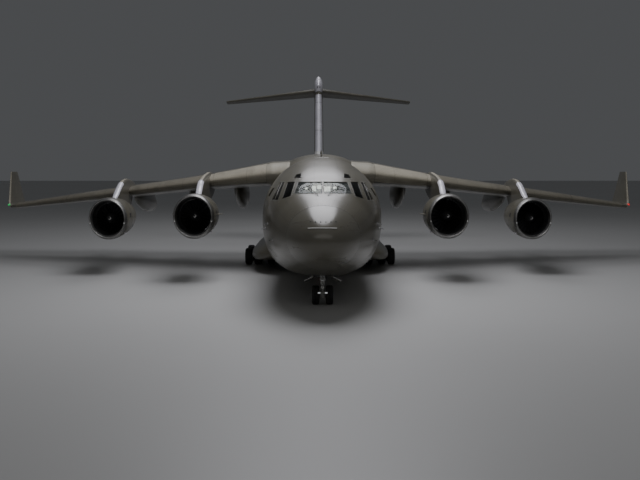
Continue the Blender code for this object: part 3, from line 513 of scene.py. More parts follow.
def metal(name, dark, light, rough, scale=6.0, tint=None):
    """Bare metal: brushed light and dark, with an optional heat tint in patches."""
    made, tree, shader = shader_of(name)
    brushed, cloud = noise(tree, scale * 8), noise(tree, scale)
    colour = mix(tree, ramp(tree, brushed, 0.3, 0.7), dark, light)
    if tint:
        colour = mix(tree, ramp(tree, cloud, 0.45, 0.7, 0.0, 0.8), colour, tint)
    roughness = ramp(tree, cloud, 0.3, 0.7, rough - 0.08, rough + 0.1)
    plug(tree, shader, {"Base Color": colour, "Roughness": roughness, "Metallic": 1.0})
    bump(tree, shader, (brushed, 0.05, 0.001))
    return made


def lamp(name, colour, strength):
    """A lit lens with a faint ribbed pattern."""
    made, tree, shader = shader_of(name)
    ribs = noise(tree, 90, 2)
    lens = mix(tree, ramp(tree, ribs, 0.4, 0.6), colour, tuple(c * 0.8 for c in colour))
    plug(tree, shader, {"Base Color": lens, "Roughness": 0.08, "Emission Color": (*colour, 1),
        "Emission Strength": strength})
    bump(tree, shader, (ribs, 0.2, 0.001))
    return made


# %% Paints, metals and lamps
DARKER, PALER = (0.098, 0.091, 0.07), (0.132, 0.124, 0.097)
PAINT = coat("warm grey paint", DARKER, PALER, 0.37, (2.4, 1.15, 0.011), gloss=0.5)
SMALL_PAINT = coat("grey paint of small panels", DARKER, PALER, 0.38, (1.25, 0.8, 0.009), gloss=0.6)
PLAIN_PAINT = coat("grey paint without joints", DARKER, PALER, 0.38, gloss=0.6)
RADOME = coat("radome paint", (0.11, 0.104, 0.083), (0.135, 0.128, 0.104), 0.3, streak=0.15, grime=0.08,
    gloss=0.6, grain=0.05)
# Leading edge paint, paler than the hull as a painted highlight. The outer copy is darker, as painted shade.
LIT_EDGE = coat("leading edge paint", (0.3, 0.277, 0.22), (0.4, 0.372, 0.3), 0.42, (3.1, 9.0, 0.012), grime=0.4,
    grain=0.45)
SHADED_EDGE = coat("outer leading edge paint", (0.165, 0.152, 0.12), (0.225, 0.208, 0.166), 0.42,
    (3.1, 9.0, 0.012), grime=0.4, grain=0.35)
# The front of the wing root is painted paler, as a highlight.
ROOT_HIGHLIGHT = coat("wing root paint with painted highlight", (0.24, 0.225, 0.18), (0.31, 0.292, 0.238), 0.42, grime=0.3, grain=0.3)
# Near-white metal for edges that face the light: the pale colour is a painted highlight on a metal strip.
POLISHED_HIGHLIGHT = coat("metal edge with painted highlight", (0.7, 0.69, 0.75), (0.85, 0.84, 0.9), 0.22, streak=0.5, grime=0.08,
    metal=0.2, gloss=0.5, grain=0.05)
WHITE_PAINT = coat("white marking paint", (0.62, 0.62, 0.6), (0.74, 0.74, 0.72), 0.35, grime=0.12, grain=0.05)
LINING = coat("hold lining", (0.3, 0.31, 0.29), (0.38, 0.39, 0.37), 0.6, (1.2, 0.9, 0.012), grime=0.12)
# The flight deck's inside is painted near black, as shade behind the side windows.
SHADED_CABIN = coat("flight deck lining in painted shade", (0.06, 0.062, 0.06), (0.09, 0.092, 0.088), 0.65, (1.2, 0.9, 0.012),
    grime=0.12)
BAY = coat("bay paint", (0.42, 0.42, 0.39), (0.52, 0.52, 0.48), 0.5, (0.9, 0.6, 0.01), grime=0.4)
DECK = coat("deck paint", (0.07, 0.07, 0.07), (0.13, 0.13, 0.125), 0.62, (2.7, 1.1, 0.012), grime=0.5,
    grain=0.5)
GEAR = coat("gear paint", (0.5, 0.5, 0.47), (0.62, 0.62, 0.59), 0.33, streak=0.2, grime=0.4, gloss=0.3)
DARK = coat("dark fittings", (0.018, 0.018, 0.02), (0.04, 0.04, 0.042), 0.5, grime=0.1)
# Near-black paint inside the duct: a dark lining, made darker still as painted shade.
DUCT_SHADE = coat("duct lining in painted shade", (0.014, 0.014, 0.015), (0.03, 0.03, 0.031), 0.45, (0.5, 0.4, 0.006), metal=0.3)
LIP = metal("satin intake lip", (0.26, 0.26, 0.25), (0.31, 0.305, 0.295), 0.45, 1.5)
CHROME = metal("oleo chrome", (0.72, 0.72, 0.73), (0.82, 0.82, 0.83), 0.1)
# Fan blade metal, made nearly black as the painted shade inside the intake.
BLADE_SHADE = metal("fan blade metal in painted shade", (0.04, 0.041, 0.045), (0.075, 0.075, 0.08), 0.4, 1.5)
HOT = metal("exhaust metal", (0.16, 0.14, 0.12), (0.3, 0.26, 0.22), 0.38, tint=(0.12, 0.075, 0.05))
STEEL = metal("plain steel", (0.26, 0.26, 0.265), (0.4, 0.4, 0.4), 0.35)
WHITE_LAMP = lamp("lamp glass", (0.85, 0.88, 0.9), 0.35)
RED_LAMP = lamp("port lamp", (0.7, 0.02, 0.015), 0.5)
GREEN_LAMP = lamp("starboard lamp", (0.015, 0.5, 0.12), 0.5)
GLOW = lamp("cockpit lamp", (0.95, 0.93, 0.86), 20.0)
# Glowing patches for the flight deck's rear wall: painted light, not lamps.
WALL_GLOW = lamp("wall glow as painted light", (0.95, 0.94, 0.88), 1.7)
STRIP_LAMP = lamp("formation strip", (0.42, 0.47, 0.33), 0.05)
print("finishes", len(bpy.data.materials))

# %% [markdown]
# ## Rubber, glass, cloth and instruments
# Rubber is dull and dusty, with fine cracks across the sidewall. The windscreen lets the flight deck show through,
# and the side panes are darkened glass, painted shade. The seats are grey-green cloth, whose weave is two crossed
# waves. The screens glow faintly. A plain dark sheet would do for the windows from far away, but not in the picture.

# %% Rubber, glass, cloth, screens
def rubber():
    made, tree, shader = shader_of("tyre rubber")
    dust, fine = noise(tree, 3.0, 6), noise(tree, 120.0, 3)
    colour = mix(tree, ramp(tree, dust, 0.45, 0.75, 0.0, 0.6), (0.014, 0.014, 0.015), (0.06, 0.055, 0.048))
    plug(tree, shader, {"Base Color": colour, "Roughness": ramp(tree, dust, 0.3, 0.7, 0.68, 0.9)})
    bump(tree, shader, (fine, 0.25, 0.002))
    return made


def window_glass(name, dark, light):
    made, tree, shader = shader_of(name)
    film = noise(tree, 5.0, 5)
    plug(tree, shader, {"Base Color": mix(tree, ramp(tree, film, 0.4, 0.7), dark, light),
        "Roughness": ramp(tree, film, 0.4, 0.8, 0.01, 0.05), "Transmission Weight": 0.92, "IOR": 1.2})
    return made


def cloth(name, dark, light, sheen):
    made, tree, shader = shader_of(name)
    given = {"Vector": add_node(tree, "TexCoord", {}).outputs["Object"], "Scale": 160.0, "Distortion": 0.4}
    threads = [add_node(tree, "TexWave", given, bands_direction=way).outputs["Fac"] for way in ("X", "Z")]
    weave, worn = times(tree, *threads), noise(tree, 7.0, 5)
    colour = mix(tree, ramp(tree, worn, 0.35, 0.7), dark, light)
    colour = mix(tree, times(tree, weave, 0.4), colour, tuple(c * 0.4 for c in dark))
    plug(tree, shader, {"Base Color": colour, "Roughness": ramp(tree, worn, 0.3, 0.7, 0.8, 0.95),
        "Sheen Weight": sheen})
    bump(tree, shader, (weave, 0.4, 0.001))
    return made


def screens():
    made, tree, shader = shader_of("instrument screens")
    colour = mix(tree, ramp(tree, noise(tree, 14.0, 3), 0.48, 0.6), (0.01, 0.015, 0.02), (0.1, 0.22, 0.2))
    plug(tree, shader, {"Base Color": colour, "Emission Color": colour, "Emission Strength": 1.2,
        "Roughness": 0.2})
    bump(tree, shader, (noise(tree, 60, 2), 0.05, 0.001))
    return made


RUBBER, SCREEN = rubber(), screens()
GLASS = window_glass("cockpit glass", (0.42, 0.46, 0.46), (0.55, 0.58, 0.57))
# The side panes are darkened as painted shade.
SHADED_GLASS = window_glass("side glass darkened as painted shade", (0.05, 0.052, 0.05), (0.08, 0.083, 0.08))
CLOTH = cloth("seat cloth", (0.075, 0.085, 0.07), (0.14, 0.15, 0.125), 0.3)
QUILT = cloth("quilted blanket", (0.42, 0.42, 0.39), (0.6, 0.6, 0.56), 0.15)
print("finishes", len(bpy.data.materials))

# %% [markdown]
# ## Floor and light
# A plain pale floor runs back and out of the frame. Four large soft lamps light the aircraft: a round one right over
# the nose, whose reflection is the bright patch there, a wide one far in front, one over the fin, and one high
# behind. A weak sky fills the shadows. One even dome of light would be simpler, but leaves no shape on grey paint.

# %% Stage
def stage_floor():
    mesh = bpy.data.meshes.new("floor")
    mesh.from_pydata([(-260, -160, 0), (260, -160, 0), (260, 330, 0), (-260, 330, 0)], [], [(0, 1, 2, 3)])
    floor = link("studio_floor", mesh)
    made, tree, shader = shader_of("pale floor")
    tone = mix(tree, ramp(tree, noise(tree, 0.05), 0.3, 0.7), (0.45, 0.45, 0.44), (0.49, 0.49, 0.48))
    plug(tree, shader, {"Base Color": tone, "Roughness": 0.45})
    mesh.materials.append(made)
    floor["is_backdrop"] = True


def soft_lamp(name, place, aim, size, power, colour):
    light = bpy.data.lights.new(name, "AREA")
    light.shape, light.size, light.size_y = "ELLIPSE", *size
    light.energy, light.color = power, colour
    made = bpy.data.objects.new(name, light)
    made.location = Vector(place)
    made.rotation_euler = (Vector(aim) - Vector(place)).to_track_quat("-Z", "Y").to_euler()
    bpy.context.scene.collection.objects.link(made)


stage_floor()
COOL, WARM = (0.95, 0.95, 1.0), (1.0, 0.98, 0.95)
LAMPS = (
    ("overhead", (0, -7.5, 14), (0, -8, 0), (9.6, 11.4), 1560, COOL),
    ("front_wide", (0, -50, 26), (0, -6, 2), (90, 20), 2600, WARM),
    ("over_fin", (0, 9, 22), (0, 8, 4), (12, 9), 850, COOL),
    ("behind", (0, 26, 30), (0, 2, 4), (18, 12), 900, COOL),
)
for row in LAMPS:
    soft_lamp(*row)
sky = bpy.data.worlds.new("studio")
sky.use_nodes = True
plug(sky.node_tree, sky.node_tree.nodes["Background"], {"Color": (0.62, 0.64, 0.67, 1), "Strength": 0.12})
bpy.context.scene.world = sky
print("lamps", len(LAMPS))

# %% [markdown]
# ## The hull's skin
# A freighter's hull is a tube of frames and stringers with riveted panels: nearly round, flatter under the floor,
# swept up behind the ramp. Its section follows the same formula as the engineering model, drawn much finer. The
# tube has a real wall, so that the window frames and the doorways show their thickness.

# %% Hull sections
ROUND = 96


def hull_at(s, inset=0.0):
    """Half width, squareness above and below, middle height and half height of the hull at a station."""
    crown, keel, half, above, below = smooth(HULL, s)
    return half - inset, above, below, (crown + keel) / 2, (crown - keel) / 2 - inset


def hull_ring(s, inset=0.0, sides=ROUND):
    half, above, below, middle, rise = hull_at(s, inset)
    ring = []
    for c, q in circle(sides):
        power = 2 / (above if q > 0 else below)
        ring.append((half * copysign(abs(c)**power, c), s, middle + rise * copysign(abs(q)**power, q)))
    return ring


def hull_tube(name, stations, wall=WALL):
    rings = [hull_ring(s) for s in stations] + [hull_ring(s, wall) for s in reversed(stations)]
    return loft(name, rings, loop=True, start=stations[0], finish=lambda row: int(row >= len(stations)))


def hull_solid(name, stations, inset=0.0):
    return loft(name, [hull_ring(s, inset) for s in stations], start=stations[0])


def skin_test(x, s, z):
    """Negative inside the hull, positive outside."""
    half, above, below, middle, rise = hull_at(s)
    power = above if z > middle else below
    return (abs(x) / max(half, 1e-6))**power + (abs(z - middle) / max(rise, 1e-6))**power - 1


def outward(x, s, z):
    d = 0.002
    steps = ((d, 0, 0), (0, d, 0), (0, 0, d))
    return Vector([skin_test(x + a, s + b, z + c) - skin_test(x - a, s - b, z - c)
        for a, b, c in steps]).normalized()


def from_front(x, z, lift=0.0):
    """The skin's point that a line from straight ahead meets at x, z, lifted along the normal."""
    low, high = 0.01, 10.4
    for step in range(40):
        middle = (low + high) / 2
        low, high = (low, middle) if skin_test(x, middle, z) < 0 else (middle, high)
    return Vector((x, high, z)) + outward(x, high, z) * lift


def from_side(side, s, z, lift=0.0):
    """The skin's point at a station and a height, lifted along the normal."""
    half, above, below, middle, rise = hull_at(s)
    power = above if z > middle else below
    x = side * half * max(1 - min(abs(z - middle) / rise, 1)**power, 0)**(1 / power)
    return Vector((x, s, z)) + outward(x, s, z) * lift


def from_above(x, s, lift=0.0, under=False):
    """The crown's or the keel's point over x at a station."""
    half, above, below, middle, rise = hull_at(s)
    power = below if under else above
    z = middle + (-1 if under else 1) * rise * max(1 - min(abs(x) / half, 1)**power, 0)**(1 / power)
    return Vector((x, s, z)) + outward(x, s, z) * lift


nose = [[(0.0, 0.0, 3.8)]] + [hull_ring(RADOME_END * (k / 20)**2) for k in range(1, 20)]
radome = loft("radome_skin", nose + [hull_ring(RADOME_END - 0.006)])
fit(radome, RADOME, stands_for=["radome"])
print("sections drawn with", ROUND, "sides")


# %% [markdown]
# ## Windows
# The windows are flat in the front view and follow the skin aft, so each opening is cut with a prism along the
# hull, exactly as in the engineering model. Round each opening goes a raised frame, lofted along the projected
# outline, and each pane is its own curved sheet of glass a little inside the skin.

# %% Forward hull with window openings
PANES = (
    ("front", ((0.035, 5.98), (1.48, 5.95), (1.27, 6.55), (0.035, 6.57)), 4.3),
    ("quarter", ((1.63, 5.84), (2.09, 5.68), (1.85, 6.54), (1.42, 6.56)), 5.7),
    ("side", ((2.3, 5.62), (2.66, 5.6), (2.29, 6.5), (2.0, 6.53)), 7.0),
    ("brow", ((1.1, 6.74), (1.5, 6.72), (1.4, 6.92), (1.14, 6.98)), 6.0),
)
SIDE_PANE = (5.9, 6.5, 5.75, 6.2)
CREW_DOOR = (7.6, 8.5, 2.1, 3.95)
BAY_HALF, BAY_S, BAY_ROOF = 0.55, (4.25, 6.5), 2.9
stations = sorted({*spread(RADOME_END + 0.006, 4.3, 0.15), *spread(4.3, FORWARD_END - REST, 0.3)})
forward = hull_tube("forward_skin", stations)
cutters = []
for hand, side in SIDES:
    for label, corners, aft in PANES:
        cutters.append(prism("cut", [(side * x, z) for x, z in corners], (2.0, aft)))
    s0, s1, z0, z1 = SIDE_PANE
    cutters.append(block("cut", (side * 1.9, side * 4.0), (s0, s1), (z0, z1)))
cutters.append(block("cut", (-BAY_HALF, BAY_HALF), BAY_S, (0, 2.2)))
for cutter in cutters:
    carve(forward, cutter)
print("openings cut", len(cutters))


# %% Window frames and panes
def offset_outline(points, distance):
    """A convex outline drawn in by a distance, or out where it is negative."""
    middle = sum((Vector(p) for p in points), Vector((0, 0))) / len(points)
    lines = []
    for a, b in zip(points, points[1:] + points[:1]):
        a, b = Vector(a), Vector(b)
        normal = Vector((-(b - a).y, (b - a).x)).normalized()
        if normal.dot(middle - a) < 0:
            normal.negate()
        lines.append((a + normal * distance, b - a))
    made = []
    for (p, u), (q, v) in zip([lines[-1]] + lines[:-1], lines):
        t = ((q - p).x * v.y - (q - p).y * v.x) / (u.x * v.y - u.y * v.x)
        made.append(tuple(p + u * t))
    return made


def rectangle(a0, a1, b0, b1):
    return [(a0, b0), (a1, b0), (a1, b1), (a0, b1)]


def along_outline(points, steps=8):
    made = []
    for a, b in zip(points, points[1:] + points[:1]):
        made += [tuple(Vector(a).lerp(Vector(b), k / steps)) for k in range(steps)]
    return made


def window_frame(name, corners, project, wide=0.045, high=0.012, deep=0.05):
    inner, outer = along_outline(corners), along_outline(offset_outline(corners, -wide))
    crest = along_outline(offset_outline(corners, -wide * 0.25))
    rings = [[project(*q, -0.01), project(*c, high), project(*p, high * 0.8), project(*p, -deep)]
        for p, c, q in zip(inner, crest, outer)]
    return loft(name, rings, loop=True)


def pane(name, corners, project, lift=-0.03, thick=0.02, steps=10):
    """A curved sheet over a four-cornered outline, with a thickness."""
    a, b, c, d = (Vector(p) for p in corners)
    rings = []
    for k in range(steps + 1):
        left, right = a.lerp(d, k / steps), b.lerp(c, k / steps)
        row = [left.lerp(right, m / steps) for m in range(steps + 1)]
        rings.append([project(*p, lift) for p in row] + [project(*p, lift - thick) for p in row[::-1]])
    return loft(name, rings)


def mirrored(side):
    return lambda x, z, lift: from_front(side * x, z, lift)


def sideways(side):
    return lambda s, z, lift: from_side(side, s, z, lift)


frames, front_panes, side_panes, bolts = [], [], [], []
for hand, side in SIDES:
    for label, corners, aft in PANES:
        narrow = label == "front"
        rim = offset_outline(list(corners), 0.012 if narrow else 0.008)
        frames.append(window_frame("frame", rim, mirrored(side),
            *((0.03, 0.012) if narrow else (0.022, 0.004))))
        made = pane("pane", offset_outline(list(corners), 0.004), mirrored(side))
        (front_panes if narrow else side_panes).append(made)
        for x, z in along_outline(offset_outline(list(corners), -0.03), 7):
            if abs(x) > 0.05:
                point = from_front(side * x, z, 0.006)
                bolts.append((point, outward(*from_front(side * x, z))))
        if label == "side":
            a, b, c, d = (Vector(p) for p in corners)
            middles = [(a + b).lerp(c + d, k / 8) / 2 for k in range(9)]
            frames.append(tube_along("bar", [from_front(side * p.x, p.y, 0.0) for p in middles], 0.02))
    s0, s1, z0, z1 = SIDE_PANE
    corners = rectangle(s0, s1, z0, z1)
    frames.append(window_frame("frame", offset_outline(corners, 0.008), sideways(side), 0.05))
    side_panes.append(pane("pane", offset_outline(corners, 0.004), sideways(side)))
fit(join("window_frames", frames), PLAIN_PAINT)
fit(join("windscreen_panes", front_panes), GLASS, stands_for=["cockpit_glass"])
fit(join("side_window_panes", side_panes), SHADED_GLASS)
stud = stamp("stud", ((0.0, 0.014), (0.006, 0.012), (0.009, 0.0)), 8)
made = grow("window_screws", STUDS, stud, STEEL, bolts)
fit(made, STEEL)
print("panes", len(front_panes) + len(side_panes), "screws", len(bolts))

# %% [markdown]
# ## Nose details
# A slim strip and a row of screws cross the nose above its tip, small probes stand out from its sides, and two
# wipers rest under the windscreen. The screws use the same stud tree, with points on the skin.

# %% Strip, screws, probes and wipers
strip = [from_front(x, 4.43 - 0.02 * (x / 0.68)**2) for x in spread(-0.74, 0.62, 0.08)]
rings = []
for point in strip:
    out = outward(*point)
    up = (Vector((0, 0, 1)) - out * out.z).normalized()
    rings.append([point + up * a + out * b for a, b in ((0.024, -0.01), (0.02, 0.02), (-0.02, 0.02),
        (-0.024, -0.01))])
# The nose strip is painted white: its brightness is a painted highlight.
fit(loft("nose_strip", rings), WHITE_PAINT)
row = [(from_front(x, 4.7, 0.0), outward(*from_front(x, 4.7)))
    for x in (-0.62, -0.38, -0.14, 0.11, 0.35, 0.59)]
big = stamp("stud", ((0.0, 0.034), (0.012, 0.03), (0.018, 0.0)), 12)
fit(grow("nose_screws", STUDS, big, DARK, row), DARK)
seam = [(from_front(x, z, 0.0), outward(*from_front(x, z)))
    for x, z in [(p[0] * 1.02, (p[2] - 3.85) * 1.02 + 3.85) for p in hull_ring(RADOME_END, 0, 72)]]
fit(grow("radome_screws", STUDS, stud, STEEL, seam), STEEL)
remove(big)
probes = []
for hand, side in SIDES:
    for s, z, long in ((4.6, 4.35, 0.3), (5.4, 4.06, 0.3), (3.7, 3.6, 0.22)):
        foot = from_side(side, s, z, -0.02)
        out = outward(*from_side(side, s, z))
        tip = foot + out * 0.2
        probes.append(tube_along("probe", [foot, foot + out * 0.12 + Vector((0, -0.02, 0)), tip
            + Vector((0, -0.08, 0)), tip + Vector((0, -0.08 - long, 0))], 0.018))
        probes.append(lathe("probe_foot", foot, foot + out,
            ((0.0, 0.075), (0.035, 0.07), (0.05, 0.03), (0.05, 0.0)), 20))
fit(join("air_probes", probes), STEEL)
wipers = []
for hand, side in SIDES:
    places = [from_front(side * x, z, lift) for x, z, lift in ((0.25, 5.86, 0.01), (0.3, 5.92, 0.05),
        (0.55, 6.12, 0.05), (0.82, 6.3, 0.045))]
    wipers.append(tube_along("arm", places, 0.014, 8))
    places = [from_front(side * x, z, 0.03) for x, z in ((0.62, 6.33), (0.78, 6.29), (0.95, 6.24),
        (1.12, 6.18))]
    wipers.append(tube_along("blade", places, 0.02, 6))
fit(join("windscreen_wipers", wipers), DARK)
print("probes and wipers", len(probes) + len(wipers))

# %% [markdown]
# ## The crew door
# The crew door is a piece of the skin on the port side, hinged along its foot so that it folds down and becomes the
# stairs. Its leaf is the hull's tube cut by a box in the hinge's own frame, and the steps are fixed to its inside.

# %% Hinge lines and the crew door
class Hinge:
    """A hinge line: an origin, the direction along it, up, and aft, and the pieces cut in that frame."""

    def __init__(self, origin, along, up=(0, 0, 1)):
        self.origin = Vector(origin)
        self.along = Vector(along).normalized()
        self.aft = Vector(up).cross(self.along).normalized()
        if self.aft.y < 0:
            self.aft.negate()
        self.up = self.aft.cross(self.along).normalized()
        if self.up.dot(Vector(up)) < 0:
            self.up.negate()

    def reach(self, point):
        return (Vector(point) - self.origin).dot(self.along)

    def point(self, along, aft, up):
        return self.origin + self.along * along + self.aft * aft + self.up * up

    def sweep(self, name, outlines, along):
        return loft(name, [[self.point(q, aft, up) for aft, up in outline]
            for q, outline in zip(along, outlines)])

    def pin(self, name, along, radius, sides=32):
        return loft(name, [[self.point(q, a, b) for a, b in circle(sides, radius)] for q in along])


s0, s1, z0, z1 = CREW_DOOR
first, last = from_side(1, s0, z0), from_side(1, s1, z0)
crew = Hinge((first + last) / 2, last - first)
half, tall = (s1 - s0) / 2, z1 - z0
leaf = crew.sweep("crew_door_skin", [rectangle(-1.5, 1.5, CLEAR, tall - CLEAR)] * 2,
    (-half + CLEAR, half - CLEAR))
keep(leaf, hull_tube("tool", spread(6.5, 9.6, 0.15)))
BARREL = 0.05
fuse(leaf, crew.pin("barrel", (-0.3, 0.3), BARREL))
skin(leaf, (SMALL_PAINT, LINING), "crew_door", "crew_door")
carve(forward, crew.sweep("tool", [rectangle(-1.5, 1.5, 0, tall)] * 2, (-half, half)),
    crew.pin("tool", (-0.31, 0.31), BARREL + 0.004))
# Inside, the forward skin takes the near-black lining, painted shade.
skin(forward, (PAINT, SHADED_CABIN), "forward_fuselage")
steps = []
for k in range(5):
    up = 0.28 + 0.36 * k
    inside = from_side(1, (s0 + s1) / 2, z0 + up, -WALL)
    back = inside.x - 0.16
    steps.append(block("step", (back, inside.x + 0.03), (s0 + 0.14, s1 - 0.14),
        (z0 + up - 0.02, z0 + up + 0.02)))
rails = []
for s in (s0 + 0.12, s1 - 0.12):
    points = [from_side(1, s, z0 + up, -WALL - 0.07) for up in spread(0.15, tall - 0.2, 0.2)]
    rails.append(tube_along("rail", points, 0.022))
fit(join("crew_door_stairs", steps + rails), STEEL, "crew_door")
handle = tube_along("crew_door_handle", [from_side(1, s, 3.2, lift)
    for s, lift in ((7.95, -0.01), (7.95, 0.035), (8.15, 0.035), (8.15, -0.01))], 0.014)
fit(handle, STEEL, "crew_door")
print("crew door", round(tall, 2), "m high")

# %% [markdown]
# ## Wing sections
# The wing's section is thick and nearly flat below. One short table holds it, and the same curve draws the wing,
# the slats that lie on its nose, the spoilers on its back, the tailplane and the fin.

# %% Wing tables and curves
LEAD_S, LEAD_SLOPE, WING_Z, WING_DROOP, HINGE_S, HINGE_SLOPE = 17.6, 0.472, 6.95, 0.122, 25.7, 0.264
ROOT_X, TIP_X = 3.4, 25.0
WING = ((3.4, 11.6, 1.75), (7.6, 10.24, 1.25), (10.5, 9.31, 1.05), (18.5, 6.73, 0.8), (25.0, 4.55, 0.45))
FOIL = ((0.0, 0.0), (0.02, 0.36), (0.1, 0.76), (0.32, 1.0), (0.55, 0.9), (0.7, 0.66), (1.0, 0.035))
FOIL_STEPS = 26


def foil(chord, thickness, grow=0.0, steps=FOIL_STEPS):
    """Section points as distance aft and height, from the trailing edge over the top and back below."""
    shares = [(k / steps)**2 for k in range(1, steps + 1)]
    top = [(share * chord, smooth(FOIL, share)[0] * thickness / 2 + grow) for share in shares]
    below = [(aft, -up) for aft, up in top]
    top[-1] = (chord + grow, top[-1][1])
    below[-1] = (chord + grow, below[-1][1])
    return top[::-1] + [(-grow, 0.0)] + below


def lead(x):
    return LEAD_S + LEAD_SLOPE * (abs(x) - ROOT_X)


def wing_z(x):
    return WING_Z - WING_DROOP * (abs(x) - ROOT_X)


def wing_size(x):
    return between(WING, abs(x))


def hinge_point(x):
    return (x, HINGE_S + HINGE_SLOPE * (abs(x) - ROOT_X), wing_z(x))


def wing_rings(side, grow=0.0, step=0.9):
    stations = []
    for (a, *_), (b, *_) in zip(WING, WING[1:]):
        stations += spread(a, b, step)[:-1]
    rings = []
    for x in stations + [TIP_X]:
        chord, thickness = wing_size(x)
        rings.append([(side * x, lead(x) + aft, wing_z(x) + up) for aft, up in foil(chord, thickness, grow)])
    return rings


def wing_point(side, x, u, lift):
    """A point of the skin; u is the root of the chord share, below zero on the underside."""
    chord, thickness = wing_size(x)

    def flat(v):
        return Vector((v * v * chord, copysign(smooth(FOIL, min(v * v, 1))[0], v) * thickness / 2))

    slope = flat(u + 0.004) - flat(u - 0.004)
    normal = Vector((-slope.y, slope.x)).normalized()
    if normal.x > 0 and abs(u) < 0.3 or (u >= 0.3 and normal.y < 0) or (u <= -0.3 and normal.y > 0):
        normal.negate()
    p = flat(u) + normal * lift
    return (side * x, lead(x) + p.x, wing_z(x) + p.y)


def wing_shell(name, side, x0, x1, u_range, lift=0.014, deep=0.03, step=0.8, steps=14):
    """A thin plate that follows the wing's skin between two x and two u; u may depend on x."""
    rings = []
    for x in spread(x0, x1, step):
        u0, u1 = u_range(x) if callable(u_range) else u_range
        us = [u0 + (u1 - u0) * k / steps for k in range(steps + 1)]
        rings.append([wing_point(side, x, u, lift) for u in us]
            + [wing_point(side, x, u, -deep) for u in us[::-1]])
    return loft(name, rings)


def through(rows, steps=5):
    """Rows on a smooth curve through the given rows."""
    places = [0.0]
    for a, b in zip(rows, rows[1:]):
        places.append(places[-1] + max(sqrt(sum((p - q)**2 for p, q in zip(a, b))), 1e-6))
    last = len(rows) - 1

    def slope(j, c, width):
        low, high = max(j - 1, 0), min(j + 1, last)
        return (rows[high][c] - rows[low][c]) / (places[high] - places[low]) * width

    made = []
    for i in range(last):
        width = places[i + 1] - places[i]
        for k in range(steps):
            made.append(tuple(cubic(k / steps, rows[i][c], rows[i + 1][c], slope(i, c, width),
                slope(i + 1, c, width)) for c in range(len(rows[0]))))
    return made + [tuple(rows[-1])]


print("wing root chord", WING[0][1], "tip chord", WING[-1][1])

# %% [markdown]
# ## The middle and rear of the hull
# The middle of the hull is the hold: a long round room with a flat floor. The wing's box passes through its crown.
# Behind it the keel sweeps up, and the underside is cut open for the ramp and the cargo door.

# %% Centre and aft skins
centre = hull_tube("centre_skin", spread(FORWARD_END, CENTRE_END - REST, 0.7))
root_section = foil(*WING[0][1:], REST)
carve(centre, loft("tool", [[(x, LEAD_S + aft, WING_Z + up) for aft, up in root_section]
    for x in (-ROOT_X, ROOT_X)]))
RAMP_END, DOOR_END = 40.0, 44.4
RAMP_PLAN = ((34.0, 2.2), (40.0, 2.2), (43.5, 0.85), (44.4, 0.85))
UNDER_SKIN, CARGO_DOOR_GAP, DOOR_LEAN, AFT_WALL = 0.5, 0.045, 30, 0.12
RAMP_THICK, CARGO_DOOR_THICK, CARGO_DOOR_ANGLE = 0.5, 0.34, 35
RAMP_HINGE_UP, CARGO_HINGE_UP = 0.03, 0.12


def along_plan(s):
    """Half width of the opening under the tail at a station."""
    return between(RAMP_PLAN, s)[0]


def plate(name, stations, thick, side_gap, lean=(0, 0)):
    """A piece of the underside between stations; its end faces lean forward towards the top."""
    rings = []
    for s in stations:
        half, top = along_plan(s) - side_gap, keel_z(s) + thick
        angle = radians(lean[0] if s == stations[0] else lean[1] if s == stations[-1] else 0)
        foot, low, high = keel_z(s) - UNDER_SKIN, s + UNDER_SKIN * tan(angle), s - thick * tan(angle)
        rings.append([(-half, low, foot), (half, low, foot), (half, high, top), (-half, high, top)])
    return loft(name, rings)


aft_stations = spread(CENTRE_END, SHELL_END - REST, 0.4)
aft = hull_tube("aft_skin", aft_stations, wall=AFT_WALL)
outer = hull_solid("tool", aft_stations)
ramp_door = keep(plate("ramp_skin", (CENTRE_END + CLEAR, RAMP_END - CLEAR), RAMP_THICK, CLEAR,
    (0, DOOR_LEAN)), outer, spend=False)
stations = (RAMP_END, RAMP_PLAN[2][0], DOOR_END - CLEAR)
cargo_door = keep(plate("cargo_door_skin", stations, CARGO_DOOR_THICK, CARGO_DOOR_GAP, (DOOR_LEAN, 0)), outer)
hinge_z, ramp_z = keel_z(DOOR_END) + CARGO_HINGE_UP, keel_z(CENTRE_END) + RAMP_HINGE_UP
top, edge = hinge_z + 0.6, DOOR_END - CLEAR / 2
back = edge - (top - hinge_z) * tan(radians(CARGO_DOOR_ANGLE + 2))
carve(cargo_door, slab("tool", ((DOOR_END + 0.1, hinge_z), (edge, hinge_z), (back, top),
    (DOOR_END + 0.1, top)), (-3, 3)))


def barrel_on(moving, s, z, half):
    fuse(moving, rod("barrel", (-half, s, z), (half, s, z), BARREL))
    return rod("tool", (-half - 0.01, s, z), (half + 0.01, s, z), BARREL + 0.004)


